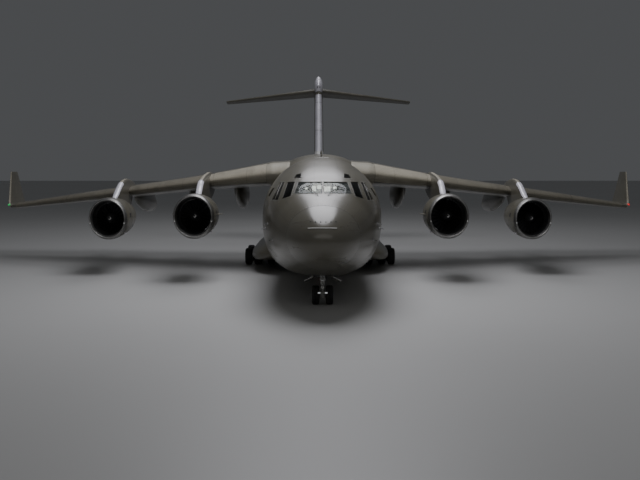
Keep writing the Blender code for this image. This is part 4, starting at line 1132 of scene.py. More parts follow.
carve(centre, barrel_on(ramp_door, CENTRE_END, ramp_z, 1.0))
carve(aft, plate("tool", (CENTRE_END - 0.5, RAMP_END), 1.3, 0),
    plate("tool", (RAMP_END - 0.001, RAMP_PLAN[2][0], DOOR_END), 1.1, 0),
    barrel_on(cargo_door, DOOR_END, hinge_z, 0.55))
PARA_DOOR = (35.9, 36.9, 3.0, 5.0)
tool = hull_tube("tool", spread(35.2, 37.6, 0.3), wall=AFT_WALL)
s0, s1, z0, z1 = PARA_DOOR
for hand, side in SIDES:
    x = sorted((side * 2, side * 5))
    made = keep(block(f"paratroop_door_skin_{hand}", x, (s0 + 0.008, s1 - 0.008), (z0 + 0.008, z1 - 0.008)),
        tool, spend=side < 0)
    carve(aft, block("tool", x, (s0, s1), (z0, z1)))
    frame_strip = window_frame("frame", rectangle(s0, s1, z0, z1), sideways(side), 0.04, 0.01, 0.02)
    small = offset_outline(rectangle(s0 + 0.34, s1 - 0.34, z1 - 0.75, z1 - 0.4), 0.0)
    rim = window_frame("rim", small, sideways(side), 0.04, 0.014, 0.01)
    fit(join(f"paratroop_door_frames_{hand}", [frame_strip, rim]), PLAIN_PAINT)
    fit(pane(f"paratroop_door_window_{hand}", small, sideways(side), 0.004, 0.01), GLASS)
    handle = [from_side(side, s, 4.0, lift) for s, lift in ((36.1, -0.01), (36.1, 0.04), (36.35, 0.04),
        (36.35, -0.01))]
    fit(tube_along(f"paratroop_door_handle_{hand}", handle, 0.015), STEEL)
    skin(made, (SMALL_PAINT, LINING), f"paratroop_door_{hand}")
skin(centre, (PAINT, LINING), "centre_fuselage")
skin(aft, (PAINT, LINING), "aft_fuselage")
skin(ramp_door, PAINT, "ramp", "ramp")
skin(cargo_door, PAINT, "cargo_door", "cargo_door")
cone_end = [[(0.0, CONE_END + 0.02, 6.65)]]
cone = loft("tail_cone_skin", [hull_ring(s) for s in spread(SHELL_END + 0.004, CONE_END, 0.2)] + cone_end)
skin(cone, SMALL_PAINT, "tail_cone")
print("hull skins drawn, ramp", round(RAMP_END - CENTRE_END, 1), "m long")

# %% [markdown]
# ## Inside the hold
# The hold is bare: hoop frames every 0.7 m, a dark floor with four lines of rollers and rings to lash loads to, and
# the ramp's own rollers and cleats. Rows of one frame, one roller and one ring are enough.

# %% Frames, rollers, rings, cleats
RIB_STEP = 0.7


def hoop(name, s, inset, deep, wide, floor_z, sides=72):
    """An open frame against the inside of the hull, down to the floor."""
    outside, inside = hull_ring(s, inset, sides), hull_ring(s, inset + deep, sides)
    rings = []
    for i in range(-sides // 4, 3 * sides // 4):
        a, b = outside[i % sides], inside[i % sides]
        if b[2] > floor_z:
            rings.append([(a[0], s - wide / 2, a[2]), (a[0], s + wide / 2, a[2]), (b[0], s + wide / 2, b[2]),
                (b[0], s - wide / 2, b[2])])
    return loft(name, rings)


first_rib = 12.0
rib = hoop("rib", first_rib, WALL + 0.002, 0.11, 0.07, FLOOR_Z + 0.05)
rows = []
for start, stop in ((12.0, 16.9), (29.8, 33.3)):
    count = round((stop - start) / RIB_STEP) + 1
    rows.append(grow("ribs", ROW, rib, LINING, Count=count, Start=(0, (start - first_rib) * SCALE, 0),
        Step=(0, (stop - start) / (count - 1) * SCALE, 0)))
carve(rib, block("tool", (-4, 4), (first_rib - 1, first_rib + 1), (5.9, 9)))
rows.append(grow("ribs", ROW, rib, LINING, Count=18, Start=(0, (17.6 - first_rib) * SCALE, 0),
    Step=(0, 0.69 * SCALE, 0)))
remove(rib)
fit(join("hold_frames", rows), LINING)
ROLLER_X = (-1.55, -0.62, 0.62, 1.55)
roller = rod("roller", (-0.12, LENGTH / 2, 0), (0.12, LENGTH / 2, 0), 0.035, 12)
ring = stamp("ring", ((0.0, 0.085), (0.012, 0.08), (0.012, 0.055), (0.002, 0.05)), 16, loop=True)
lines, rings = [], []
for x in ROLLER_X:
    lines.append(grow("rollers", ROW, roller, STEEL, Count=92, Start=at(x, 9.2, FLOOR_Z + 0.02),
        Step=(0, 0.265 * SCALE, 0)))
for x in (-2.15, -1.1, 0.0, 1.1, 2.15):
    rings.append(grow("rings", ROW, ring, STEEL, Count=25, Start=at(x, 9.3, FLOOR_Z), Step=(0, SCALE, 0)))
fit(join("hold_rollers", lines), STEEL)
fit(join("lashing_rings", rings), STEEL)
remove(ring)


def ramp_top(s):
    a, b = CENTRE_END + CLEAR, RAMP_END - CLEAR
    far = b - RAMP_THICK * tan(radians(DOOR_LEAN))
    return RAMP_THICK + keel_z(a) + (keel_z(b) - keel_z(a)) * (s - a) / (far - a)


lines, cleats = [], []
for s in spread(34.5, 39.3, 0.35):
    z = ramp_top(s) + 0.018
    lines += [rod("roller", (x - 0.12, s, z), (x + 0.12, s, z), 0.035, 10) for x in ROLLER_X]
    for x in (-1.08, 0.0, 1.08):
        cleats.append(block("cleat", (x - 0.38, x + 0.38), (s - 0.02, s + 0.02),
            (ramp_top(s) - 0.03, ramp_top(s) + 0.015)))
fit(join("ramp_rollers", lines), STEEL, "ramp")
fit(join("ramp_cleats", cleats), DARK, "ramp")
remove(roller)
repaint(DECK, "cargo_floor", "flight_deck")
repaint(BAY, "nose_bay")
print("hold fitted out")

# %% [markdown]
# ## The wing
# The wing carries the engines and the flaps. Its skin is one loft. The flaps and ailerons are cut from a copy of it
# with the same planes and round noses as in the engineering model, so their gaps stay right when they move. The
# spindle-shaped fairings below hold the flap hinges: their front halves belong to the wing, the rear to the flaps.

# %% Control surfaces
CONTROL_PIN, CONTROL_PIN_LENGTH, NOSE_STEPS = 0.04, 0.1, 14


def round_front(radius, front, reach, tall=3.0):
    """Outline of aft, up points: a half round nose on the hinge line, and everything behind it."""
    bend = [(-radius * sin(pi * i / NOSE_STEPS), radius * cos(pi * i / NOSE_STEPS))
        for i in range(1, NOSE_STEPS)]
    return [(reach, tall), (front, tall), (front, radius), *bend, (front, -radius), (front, -tall),
        (reach, -tall)]


def control_surface(name, host, guide, hinge, along, radii, reach):
    """A surface cut from its host behind a hinge line inside it, with a round nose and a pin at each end."""
    surface = hinge.sweep(name, [round_front(r, 0.0, reach) for r in radii], along)
    keep(surface, guide, False)
    pins = (along[0] - CONTROL_PIN_LENGTH, along[1] + CONTROL_PIN_LENGTH)
    fuse(surface, hinge.pin("pins", pins, CONTROL_PIN))
    wide = (along[0] - CLEAR, along[1] + CLEAR)
    carve(host, hinge.sweep("tool", [round_front(r + CLEAR, -CLEAR / 2, reach) for r in radii], wide),
        hinge.pin("tool", (pins[0] - 0.005, pins[1] + 0.005), CONTROL_PIN + 0.003))
    return surface


FLAPS = (("inner", 5.0, 11.4, 2.1, (6.2, 9.8)), ("outer", 11.45, 18.4, 1.5, (14.3, 16.9)))
FLAP_ANGLE, AILERON, FLAP_SKIRT, FLAP_BARREL, FLAP_BARREL_HALF = 35, (18.8, 24.2), 1.2, 0.13, 0.16
CANOE = ((-3.6, 0.1, 0.26, 0.06), (-2.2, 0.03, 0.62, 0.36), (0.0, 0.0, 0.92, 0.5), (1.8, 0.02, 1.0, 0.5),
    (3.3, 0.4, 0.95, 0.3), (4.2, 0.72, 0.84, 0.04))
CANOE_AT_PIVOT, PIVOT_COVER = 0.92, 0.2


def canoe(name, x, side, depth):
    hinge_s = HINGE_S + HINGE_SLOPE * (x - ROOT_X)
    rings = []
    for aft, top, bottom, half in through(CANOE, 5):
        upper, lower = wing_z(x) - top * depth, wing_z(x) - bottom * depth
        middle, rise = (upper + lower) / 2, (upper - lower) / 2
        rings.append([(side * x + half * p, hinge_s + aft, middle + rise * q) for p, q in circle(28)])
    return loft(name, rings)


# %% Both half wings
for hand, side in SIDES:
    rings = wing_rings(side)
    rings[0] = [(side * (ROOT_X + REST), s, z) for x, s, z in rings[0]]
    made, guide = loft(f"wing_skin_{hand}", rings), loft("guide", rings)
    for label, x0, x1, drop, stations in FLAPS:
        for x in stations:
            pod = canoe("canoe", x, side, (drop + PIVOT_COVER) / CANOE_AT_PIVOT)
            fuse(made, pod, False)
            fuse(guide, pod)
    along = (side, HINGE_SLOPE, -WING_DROOP)
    for label, x0, x1, drop, stations in FLAPS:
        hinge = Hinge((side * ROOT_X, HINGE_S, WING_Z - drop), along)
        ends = tuple(hinge.reach(hinge_point(side * x)) for x in (x0, x1))
        swing, front = tan(radians(FLAP_ANGLE + 3)) * FLAP_SKIRT, CLEAR / 2
        outline = [(front, 4.0), (front, 0), (front + swing, -FLAP_SKIRT), (9, -FLAP_SKIRT), (9, 4.0)]
        flap = hinge.sweep(f"flap_skin_{label}_{hand}", (outline, outline), ends)
        keep(flap, guide, False)
        room = [(-front, 4.2), (-front, -FLAP_SKIRT - 0.2), (9.2, -FLAP_SKIRT - 0.2), (9.2, 4.2)]
        carve(made, hinge.sweep("tool", (room, room), (ends[0] - CLEAR, ends[1] + CLEAR)))
        for x in stations:
            middle = hinge.reach(hinge_point(side * x)) - drop * hinge.along.z
            half = FLAP_BARREL_HALF
            fuse(flap, hinge.pin("barrel", (middle - half, middle + half), FLAP_BARREL))
            carve(made, hinge.pin("tool", (middle - half - 0.004, middle + half + 0.004), FLAP_BARREL
                + 0.004))
        node = f"flap_{label}_{hand}"
        skin(flap, SMALL_PAINT, node, node)
    hinge = Hinge((side * ROOT_X, HINGE_S, WING_Z), along)
    ends = tuple(hinge.reach(hinge_point(side * x)) for x in AILERON)
    aileron = control_surface(f"aileron_skin_{hand}", made, guide, hinge, ends, (0.265, 0.17), 6)
    skin(aileron, SMALL_PAINT, f"aileron_{hand}", f"aileron_{hand}")
    remove(guide)
    skin(made, PAINT, f"wing_{hand}")
repaint(PLAIN_PAINT, "wing_centre_section")
print("half wings drawn")

# %% [markdown]
# ## Slats, spoilers and winglets
# Slats lie round the wing's nose in long pieces, in a worn and grainy paint that is paler than the hull as a painted
# highlight; the outer slats take a darker copy of it, as painted shade. Spoiler panels lie on the back ahead of the
# flaps. Each is a thin plate that follows the skin, with a narrow joint to the next. At the tip the wing turns up
# into a winglet, drawn as a smooth curve through four sections.

# %% Slats and spoilers
# The inner slats take the lit copy of the edge paint and the outer ones the shaded copy.
SLATS = (("inner", LIT_EDGE, ((3.72, 7.6),)), ("outer", SHADED_EDGE, ((8.5, 14.0), (14.9, 19.72), (19.72, 24.55))))
SPOILERS = (("inner", 5.12, 11.32, 3), ("outer", 11.56, 18.34, 3))
PLATE_JOINT = 0.025


def before_hinge(x):
    chord, thickness = wing_size(x)
    share = (HINGE_S + HINGE_SLOPE * (x - ROOT_X) - lead(x) - 0.06) / chord
    return sqrt(share - 0.115), sqrt(share)


for hand, side in SIDES:
    for where, finish, spans in SLATS:
        slats = [wing_shell("slat", side, x0 + PLATE_JOINT, x1 - PLATE_JOINT, (-0.235, 0.375), 0.016, 0.03,
            0.7, 26) for x0, x1 in spans]
        x0 = spans[0][1]
        slats.append(wing_shell("slat", side, x0, x0 + 0.9, (-0.2, 0.34), 0.008, 0.03, 0.5, 20))
        fit(join(f"{where}_slats_{hand}", slats), finish)
    plates = []
    for label, x0, x1, count in SPOILERS:
        wide = (x1 - x0) / count
        for k in range(count):
            a = x0 + k * wide
            plates.append(wing_shell("spoiler", side, a + PLATE_JOINT, a + wide - PLATE_JOINT, before_hinge,
                0.014, 0.02, 0.6, 5))
    fit(join(f"spoilers_{hand}", plates), SMALL_PAINT)
print("slats and spoilers laid")

# %% Winglets
WINGLET = ((25.0, 27.8, 4.31, 4.55, 0.45, 0.0), (25.34, 28.3, 4.42, 4.15, 0.36, 40.0),
    (25.55, 28.9, 4.85, 3.4, 0.28, 74.0), (25.87, 30.35, 7.1, 1.45, 0.12, 82.0))
TIP_ROWS = 7
for hand, side in SIDES:
    rings = []
    for x, s, z, chord, thickness, roll in through(WINGLET, TIP_ROWS):
        a = radians(roll)
        rings.append([(side * (x - up * sin(a)), s + aft, z + up * cos(a))
            for aft, up in foil(chord, thickness)])
    rings[0] = [(side * (TIP_X + REST), s, z) for x, s, z in rings[0]]
    shell = loft(f"winglet_skin_{hand}", rings)
    skin(shell, SMALL_PAINT, f"winglet_{hand}")
    edges = []
    for k, (x, s, z, chord, thickness, roll) in enumerate(through(WINGLET, TIP_ROWS)):
        a = radians(roll)
        outline = foil(chord, thickness, 0.008)
        middle = FOIL_STEPS
        near = outline[middle - 6:middle + 7]
        back = [(aft + 0.02, up * 0.7) for aft, up in near[::-1]]
        edges.append([(side * (x - up * sin(a)), s + aft, z + up * cos(a)) for aft, up in near + back])
    fit(loft(f"winglet_edge_{hand}", edges), LIT_EDGE)
    lens = lathe(f"tip_lamp_{hand}", (side * 25.32, 28.28, 4.42), (side * 25.36, 27.88, 4.4),
        ((-0.1, 0.085), (0.0, 0.085), (0.08, 0.075), (0.13, 0.045), (0.15, 0.0)), 20)
    fit(lens, RED_LAMP if side > 0 else GREEN_LAMP)
print("winglet height", round(WINGLET[-1][2] - WINGLET[0][2], 2), "m")

# %% [markdown]
# ## The crown fairing
# Where the wing crosses the hull, a smooth hump covers its box. Its shape is a row of half ellipses.

# %% Crown fairing
CROWN = ((15.5, 7.75, 0.6), (17.5, 8.15, 2.3), (20.5, 8.35, 2.9), (26.5, 8.3, 2.9), (29.8, 8.1, 2.2),
    (31.5, 7.75, 0.6))
CROWN_BASE = 6.9
rings = [[(half * cos(pi * i / 40), s, CROWN_BASE + (top - CROWN_BASE) * sin(pi * i / 40)) for i in range(41)]
    for s, top, half in through(CROWN, 6)]
fairing = loft("crown_fairing_skin", rings)
carve(fairing, hull_solid("tool", spread(15.0, 32.0, 1.0), 0.02))
skin(fairing, PAINT, "crown_fairing")
GLOVE_END, GLOVE_REACH, GLOVE_FRONT, GLOVE_OVER, GLOVE_UNDER, GLOVE_EDGE_END = 3.72, 1.5, 0.5, 0.07, 0.3, 19.2


def glove_ring(x):
    """The wing's root section, swelling forwards and down towards the hull."""
    host = max(abs(x), ROOT_X)
    swell_by = min((GLOVE_END - abs(x)) / GLOVE_REACH, 1.0)**2
    chord, thickness = wing_size(host)
    ring = []
    for aft, up in foil(chord, thickness, 0.012):
        front = max(0.0, 1 - max(aft, 0) / (0.35 * chord))**2
        rise = min(1.0, 3 * abs(up) / thickness) * (GLOVE_OVER if up > 0 else -GLOVE_UNDER)
        ring.append((x, lead(host) + aft - GLOVE_FRONT * swell_by * front, wing_z(host) + up + rise
            * swell_by))
    return ring


half_way = spread(0.0, GLOVE_END - GLOVE_REACH, 1.2)[:-1] + spread(GLOVE_END - GLOVE_REACH, GLOVE_END, 0.15)
glove = loft("wing_root_glove", [glove_ring(-x) for x in half_way[:0:-1]] + [glove_ring(x) for x in half_way])
# Faces ahead of this station take the paler root paint, a painted highlight.
front_end = at(0, GLOVE_EDGE_END, 0).y
for face in glove.data.polygons:
    face.material_index = int(face.center.y > front_end)
skin(glove, (ROOT_HIGHLIGHT, PLAIN_PAINT), "wing_centre_section")
print("fairing", round(CROWN[-1][0] - CROWN[0][0], 1), "m long")

# %% [markdown]
# ## The engines
# Each engine is a short duct round a large fan, with a hot core that reaches out behind it. The duct is a closed
# loop of rings, a little taller than it is wide, so that it has a true wall: painted outside, and inside a dark
# lining made near black as painted shade. Its satin lip is a piece of its own, as on the real one. Turned shapes
# could also be made by the Screw modifier, but rings take the extra height at once.

# %% Engine tables
ENGINES = (("inner", 8.04, 4.27, 13.0, ((15.2, 5.6), (16.6, 6.5), (20.6, 7.05)),
    ((2.4, 0.62), (4.4, -0.2), (3.8, -0.72))), ("outer", 14.46, 3.9, 17.0,
    ((19.1, 5.34), (21.0, 6.3), (22.9, 6.57)), ((2.4, 0.62), (3.2, 0.1), (1.45, -0.4), (1.05, -0.72))),)
# Rows of distance behind the lip, radius, and how much taller than wide
LIP_OUT = ((0.32, 1.308, 1.084), (0.2, 1.288, 1.087), (0.11, 1.262, 1.09), (0.045, 1.232, 1.09),
    (0.01, 1.203, 1.09))
LIP_IN = ((0.0, 1.18, 1.09), (0.012, 1.155, 1.089), (0.05, 1.132, 1.086), (0.12, 1.111, 1.08),
    (0.22, 1.09, 1.071), (0.32, 1.079, 1.063))
COWL_OUT = ((0.33, 1.308, 1.084), (0.5, 1.328, 1.08), (0.8, 1.345, 1.067), (1.2, 1.357, 1.05),
    (1.55, 1.36, 1.033), (1.553, 1.347, 1.033), (1.583, 1.347, 1.032), (1.586, 1.36, 1.031),
    (2.0, 1.352, 1.018), (2.4, 1.332, 1.008), (2.8, 1.302, 1.0), (2.803, 1.289, 1.0), (2.833, 1.286, 1.0),
    (2.836, 1.298, 1.0), (3.2, 1.24, 1.0), (3.6, 1.175, 1.0), (3.9, 1.12, 1.0))
COWL_IN = ((3.885, 1.1), (3.5, 1.115), (2.8, 1.13), (2.0, 1.112), (1.45, 1.085), (1.1, 1.08),
    (0.7, 1.073, 1.03), (0.33, 1.078, 1.062))
CORE = ((1.6, 0.0), (1.6, 0.5), (1.62, 0.56), (1.8, 0.68), (2.15, 0.785), (2.6, 0.84), (3.1, 0.832),
    (3.5, 0.79), (3.9, 0.72), (3.905, 0.705), (4.4, 0.6), (4.9, 0.5), (5.3, 0.42), (5.31, 0.408), (5.0, 0.44),
    (5.0, 0.3), (5.3, 0.262), (5.6, 0.16), (5.84, 0.06), (5.9, 0.0))
SPINNER = ((0.6, 0.0), (0.606, 0.036), (0.63, 0.08), (0.68, 0.135), (0.75, 0.19), (0.84, 0.24), (0.96, 0.288),
    (1.08, 0.325), (1.18, 0.347), (1.42, 0.355))
ENGINE_ROUND, BLADES, FAN_MIDDLE = 72, 22, 1.285


def turned(name, x, s, z, rows, loop=False, finish=None, sides=ENGINE_ROUND, sharp=30):
    """Rings round a fore and aft axis; a radius of 0 is a pole."""
    rings = []
    for row in rows:
        aft, radius, tall = row if len(row) == 3 else (*row, 1.0)
        rings.append([(x + p, s + aft, z + q * tall) for p, q in circle(sides, radius)] if radius
            else [(x, s + aft, z)])
    return loft(name, rings, loop=loop, finish=finish, sharp=sharp)


def cowl_point(x, s, z, far, degrees, lift=0.0):
    """A point on the cowl's outside, at a distance behind the lip and an angle from the +X side."""
    radius, tall = between(COWL_OUT, far)
    angle, radius = radians(degrees), radius + lift
    return (x + radius * cos(angle), s + far, z + radius * tall * sin(angle))


print("cowl", COWL_OUT[-1][0], "m long, lip", 2 * LIP_OUT[0][1], "m across")

# %% [markdown]
# ## Fan, vanes and core
# A fan blade is a thin twisted loft: nearly along the airflow at its root, and leaning over at its tip. One blade
# in the ring tree makes the whole fan, and one straight vane makes the row of guide vanes behind it. The small pale
# curl on the spinner shows people on the ground that the fan is turning.

# %% One blade, one vane, and the spinner's curl
def lens_section(radius, chord, thick, degrees, camber=0.0, points=7):
    """A thin curved section in the ring tree's own frame: radius on X, the fan's turn on Y, aft on Z."""
    angle = radians(degrees)
    upper, lower = [], []
    for i in range(points):
        t = i / (points - 1)
        along, bend = chord * (t - 0.5), camber * 4 * t * (1 - t)
        half = thick / 2 * sqrt(max(4 * t * (1 - t), 0.02))
        for side_points, across in ((upper, bend + half), (lower, bend - half)):
            side_points.append((radius, LENGTH / 2 + along * sin(angle) + across * cos(angle), along
                * cos(angle) - across * sin(angle)))
    return upper + lower[::-1]


blade_rows = []
for k in range(9):
    t = k / 8
    blade_rows.append(lens_section(0.335 + 0.692 * t, 0.28 + 0.15 * t - 0.04 * max(t - 0.8, 0) * 5, 0.034
        - 0.022 * t, 22 + 40 * t, 0.035 * (1 - 0.5 * t)))
blade = loft("blade", blade_rows, sharp=50)
vane = loft("vane", [lens_section(r, 0.26, 0.02, -8, 0.02, 5) for r in (0.6, 1.108)])


def curl(name, x, s, z):
    """A tapering band that winds outwards over the spinner's tip."""
    rings = []
    for k in range(25):
        t = k / 24
        angle = radians(-150 + 250 * t)
        middle, half = 0.035 + 0.085 * t, 0.007 + 0.024 * sin(pi * min(t * 1.1, 1))
        ring = []
        for radius, lift in ((middle - half, -0.004), (middle - half, 0.003), (middle, 0.0045),
                (middle + half, 0.003), (middle + half, -0.004)):
            far = between([(r, far) for far, r in SPINNER], radius)[0]
            ring.append((x + radius * cos(angle), s + far - lift, z + radius * sin(angle)))
        rings.append(ring)
    return loft(name, rings, sharp=60)


print("blade faces", len(blade.data.polygons), "vane faces", len(vane.data.polygons))

# %% [markdown]
# ## Pylons
# A pylon carries each engine under and ahead of the wing. Seen from the side it climbs from the cowl's crown over
# the wing's leading edge, and it ends in a point below the wing. Its cross section is a tall rounded bar, and its
# front is capped by a metal strip whose near white colour is a painted highlight.

# %% Pylon shapes
PYLON_HALF = 0.2


def pylon_lines(engine):
    label, x, z, s, edge, heel = engine
    rear = [(lead(x) + aft, wing_z(x) + up) for aft, up in heel]
    crest = through([(s + 1.5, z + 1.15), *edge, *rear[:2]], 7)
    foot = [(s + 1.5, z + 1.0), (s + 3.0, z + 0.5), (min(s + 6.3, rear[-1][0] - 0.1), z + 0.45), *rear[:1:-1],
        (rear[1][0], rear[1][1] - 0.22)]
    return crest, foot


def bar_section(x, s, low, high, half, steps=8):
    """A tall bar with round top and bottom, as a ring of points."""
    rise = min(half, (high - low) / 2)
    ring = [(x + half * cos(pi * i / steps), s, high - rise + rise * sin(pi * i / steps))
        for i in range(steps + 1)]
    ring += [(x - half * cos(pi * i / steps), s, low + rise - rise * sin(pi * i / steps))
        for i in range(steps + 1)]
    return ring


def pylon_body(name, engine, x):
    crest, foot = pylon_lines(engine)
    rings = []
    for s, top in crest:
        front, rear = s - crest[0][0], crest[-1][0] - s
        half = PYLON_HALF * (0.25 + 0.75 * min(1, front / 1.1)**0.6) * (0.15 + 0.85 * min(1, rear / 2.6)**0.7)
        rings.append(bar_section(x, s, min(between(foot, s)[0], top - 0.02), top, half))
    return loft(name, rings)


def crest_strip(name, engine, x, s0, s1, span, lift, step=0.12):
    """A thin cap over the pylon's rounded crest, reaching down by an angle on both sides."""
    crest = pylon_lines(engine)[0]
    rings = []
    for s in spread(s0, s1, step):
        top, front = between(crest, s)[0], s - crest[0][0]
        half = PYLON_HALF * (0.25 + 0.75 * min(1, max(front, 0) / 1.1)**0.6)
        angles = [radians(90 + span * (k / 5 - 1)) for k in range(11)]
        ring = [(x + (half + lift) * cos(a), s, top - half + (half + lift) * sin(a)) for a in angles]
        ring += [(x + (half - 0.02) * cos(a), s, top - half + (half - 0.02) * sin(a)) for a in angles[::-1]]
        rings.append(ring)
    return loft(name, rings)


print("pylons", len(ENGINES) * 2)

# %% [markdown]
# ## Putting the engines together
# The same steps run for all four. The fan rides on its own body, so that it turns, and everything else is fixed.
# The inner cowls carry a flat fin on each side, which steadies the air over the wing at a steep climb.

# %% Four engines
for hand, side in SIDES:
    for engine in ENGINES:
        label, x, z, s, edge, heel = engine
        x *= side
        tag = f"{label}_{hand}"
        fit(turned(f"intake_lip_{tag}", x, s, z, LIP_OUT + LIP_IN, loop=True), LIP)
        cowl = turned(f"cowl_{tag}", x, s, z, COWL_OUT + COWL_IN, loop=True,
            finish=lambda row: int(row >= len(COWL_OUT)))
        skin(cowl, (PAINT, DUCT_SHADE), f"nacelle_{tag}")
        # The core's front and the guide vanes take the near-black duct paint, as painted shade.
        core = turned(f"engine_core_{tag}", x, s, z, CORE, finish=lambda row: int(row > 8), sides=48)
        fit(core, (DUCT_SHADE, HOT))
        vanes = grow(f"guide_vanes_{tag}", RING, vane, DUCT_SHADE, Count=34, Radius=0.0, Centre=at(x, s + 1.78, z),
            Turn=(-pi / 2, 0, 0))
        fit(vanes, DUCT_SHADE)
        body = f"fan_{tag}"
        blades = grow(f"fan_blades_{tag}", RING, blade, BLADE_SHADE, Count=BLADES, Radius=0.0,
            Centre=at(x, s + FAN_MIDDLE, z), Turn=(-pi / 2, 0, 0))
        fit(blades, BLADE_SHADE, body, [body])
        spinner = turned(f"spinner_{tag}", x, s, z, SPINNER + ((1.42, 0.0),), sides=40)
        fit(spinner, DARK, body)
        fit(curl(f"spinner_curl_{tag}", x, s, z), WHITE_PAINT, body)
        pylon = pylon_body(f"pylon_skin_{tag}", engine, x)
        skin(pylon, SMALL_PAINT, f"pylon_{tag}")
        fit(crest_strip(f"pylon_edge_{tag}", engine, x, s + 1.75, edge[1][0], 84, 0.006), POLISHED_HIGHLIGHT)
        fit(crest_strip(f"pylon_ridge_{tag}", engine, x, edge[1][0] + 0.14, edge[2][0], 30, 0.005), LIT_EDGE)
        fit(crest_strip(f"pylon_cap_{tag}", engine, x, edge[1][0] - 0.02, edge[1][0] + 0.13, 88, 0.012, 0.05),
            POLISHED_HIGHLIGHT)
remove(blade, vane)
print("engines placed at", [(row[0], row[1]) for row in ENGINES])


# %% Cowl details
def cowl_patch(name, x, s, z, far, degrees, lift, deep=0.012, steps=6):
    """A small plate that follows the cowl between two distances and two angles."""
    rings = []
    for k in range(steps + 1):
        q = far[0] + (far[1] - far[0]) * k / steps
        turns = [degrees[0] + (degrees[1] - degrees[0]) * m / steps for m in range(steps + 1)]
        rings.append([cowl_point(x, s, z, q, a, lift) for a in turns]
            + [cowl_point(x, s, z, q, a, lift - deep) for a in turns[::-1]])
    return loft(name, rings)


vents, scoops, strakes, latches, lip_studs = [], [], [], [], []
for hand, side in SIDES:
    for label, x, z, s, *edges in ENGINES:
        x *= side
        inboard = 180 if side > 0 else 0
        for far, a, wide in (((1.02, 1.3), -14, 11), ((2.0, 2.16), 20, 8)):
            vents.append(cowl_patch("vent", x, s, z, far, (inboard + side * a, inboard + side * (a + wide)),
                0.004))
        foot = Vector(cowl_point(x, s, z, 0.9, inboard + side * 45, -0.01))
        out = (foot - Vector((x, s + 0.9, z))).normalized()
        scoops.append(tube_along("scoop", [foot, foot + out * 0.07 + Vector((0, 0.04, 0)), foot + out * 0.09
            + Vector((0, 0.3, 0)), foot + Vector((0, 0.44, 0))], 0.028))
        for k in range(5):
            far = 1.15 + 0.55 * k
            latches.append(cowl_patch("latch", x, s, z, (far, far + 0.16), (-94, -86), 0.008, 0.02, 3))
        for a in (-13, 193):
            point = Vector((x + 1.18 * cos(radians(a)), s, z + 1.18 * 1.09 * sin(radians(a))))
            lip_studs.append((point, Vector((0, -1, 0))))
        if label == "inner":
            for way in (1, -1):
                plan = [(1.3, 0.95), (1.45, 1.15), (1.63, 1.75), (1.65, 2.25), (1.27, 2.45)]
                strakes.append(loft("strake", [[(x + way * r, s + far, z + up) for r, far in plan]
                    for up in (0.065, 0.095)]))
fit(join("cowl_vents", vents), DARK)
fit(join("cowl_scoops", scoops), POLISHED_HIGHLIGHT)
fit(join("cowl_latches", latches), STEEL)
fit(bevel(join("cowl_strakes", strakes), 0.012), PLAIN_PAINT)
big = stamp("stud", ((0.0, 0.045), (0.02, 0.04), (0.03, 0.0)), 12)
fit(grow("lip_studs", STUDS, big, WHITE_PAINT, lip_studs), WHITE_PAINT)
remove(big)
print("cowl details", len(vents) + len(scoops) + len(latches) + len(strakes))

# %% [markdown]
# ## The tail
# The fin is a tall tapered wing on end, with a two-piece rudder. On its top sits a slim bullet, and through that
# passes the tailplane with an elevator on each side. Rudders and elevators are cut with the same helper as the
# ailerons. The fin's nose is a metal strip, painted near white as a highlight.

# %% Fin, bullet and rudders
FIN = ((7.2, 36.9, 11.0, 0.95), (15.7, 44.4, 6.5, 0.84))
FIN_HINGE = ((8.6, 45.2), (15.0, 48.6))
RUDDERS = (("lower", 0.03, 0.475), ("upper", 0.525, 0.93))
STABILISER = ((0.0, 44.6, 6.6, 0.75, 15.3), (9.905, 50.1, 2.94, 0.3, 14.64))
TAIL_HINGE_SHARE, ELEVATOR = 0.7, (1.3, 9.3)
BULLET = ((43.6, 0.05, 0.04), (44.2, 0.72, 0.34), (45.2, 1.12, 0.45), (48.0, 1.0, 0.44), (50.4, 0.55, 0.3),
    (51.6, 0.06, 0.05))
BULLET_Z = 15.67


def fin_size(t):
    """Height, leading edge, chord and thickness of the fin, at a share of its height."""
    return tuple(a + (b - a) * t for a, b in zip(*FIN))


def fin_ring(t, grow_by=0.0):
    z, s, chord, thick = fin_size(t)
    return [(up, s + aft, z) for aft, up in foil(chord, thick, grow_by)]


heights = [k / 9 for k in range(10)]
fin = loft("fin_skin", [fin_ring(t) for t in heights])
guide = loft("guide", [fin_ring(t) for t in heights])
tail_stations = spread(CENTRE_END, CONE_END, 0.5)
carve(guide, hull_solid("tool", tail_stations, -CLEAR))
(z0, s0), (z1, s1) = FIN_HINGE
length = hypot(z1 - z0, s1 - s0)
hinge = Hinge((0, s0, z0), (0, s1 - s0, z1 - z0), up=(1, 0, 0))
for label, low, high in RUDDERS:
    rudder = control_surface(f"rudder_skin_{label}", fin, guide, hinge, (low * length, high * length),
        (0.335 - 0.045 * low, 0.335 - 0.045 * high), 6)
    skin(rudder, SMALL_PAINT, f"rudder_{label}", f"rudder_{label}")
remove(guide)
carve(fin, hull_solid("tool", tail_stations, 0.02))
skin(fin, PAINT, "fin")
bullet = loft("fin_bullet", [[(w * p, s, BULLET_Z + h * q) for p, q in circle(36)]
    for s, h, w in through(BULLET, 6)], finish=lambda row: int(row > 9))
fit(bullet, (POLISHED_HIGHLIGHT, SMALL_PAINT))
print("fin", round(FIN[1][0] - FIN[0][0], 1), "m tall, rudders cut")


# %% Fin nose with a painted highlight
def nose_strip(name, ring_of, places, count=9):
    """A thin skin over the front of a section, for each place along it."""
    rings = []
    for t in places:
        over, under = ring_of(t, 0.008), ring_of(t, -0.012)
        middle = FOIL_STEPS
        rings.append(over[middle - count:middle + count + 1] + under[middle - count:middle + count + 1][::-1])
    return loft(name, rings)


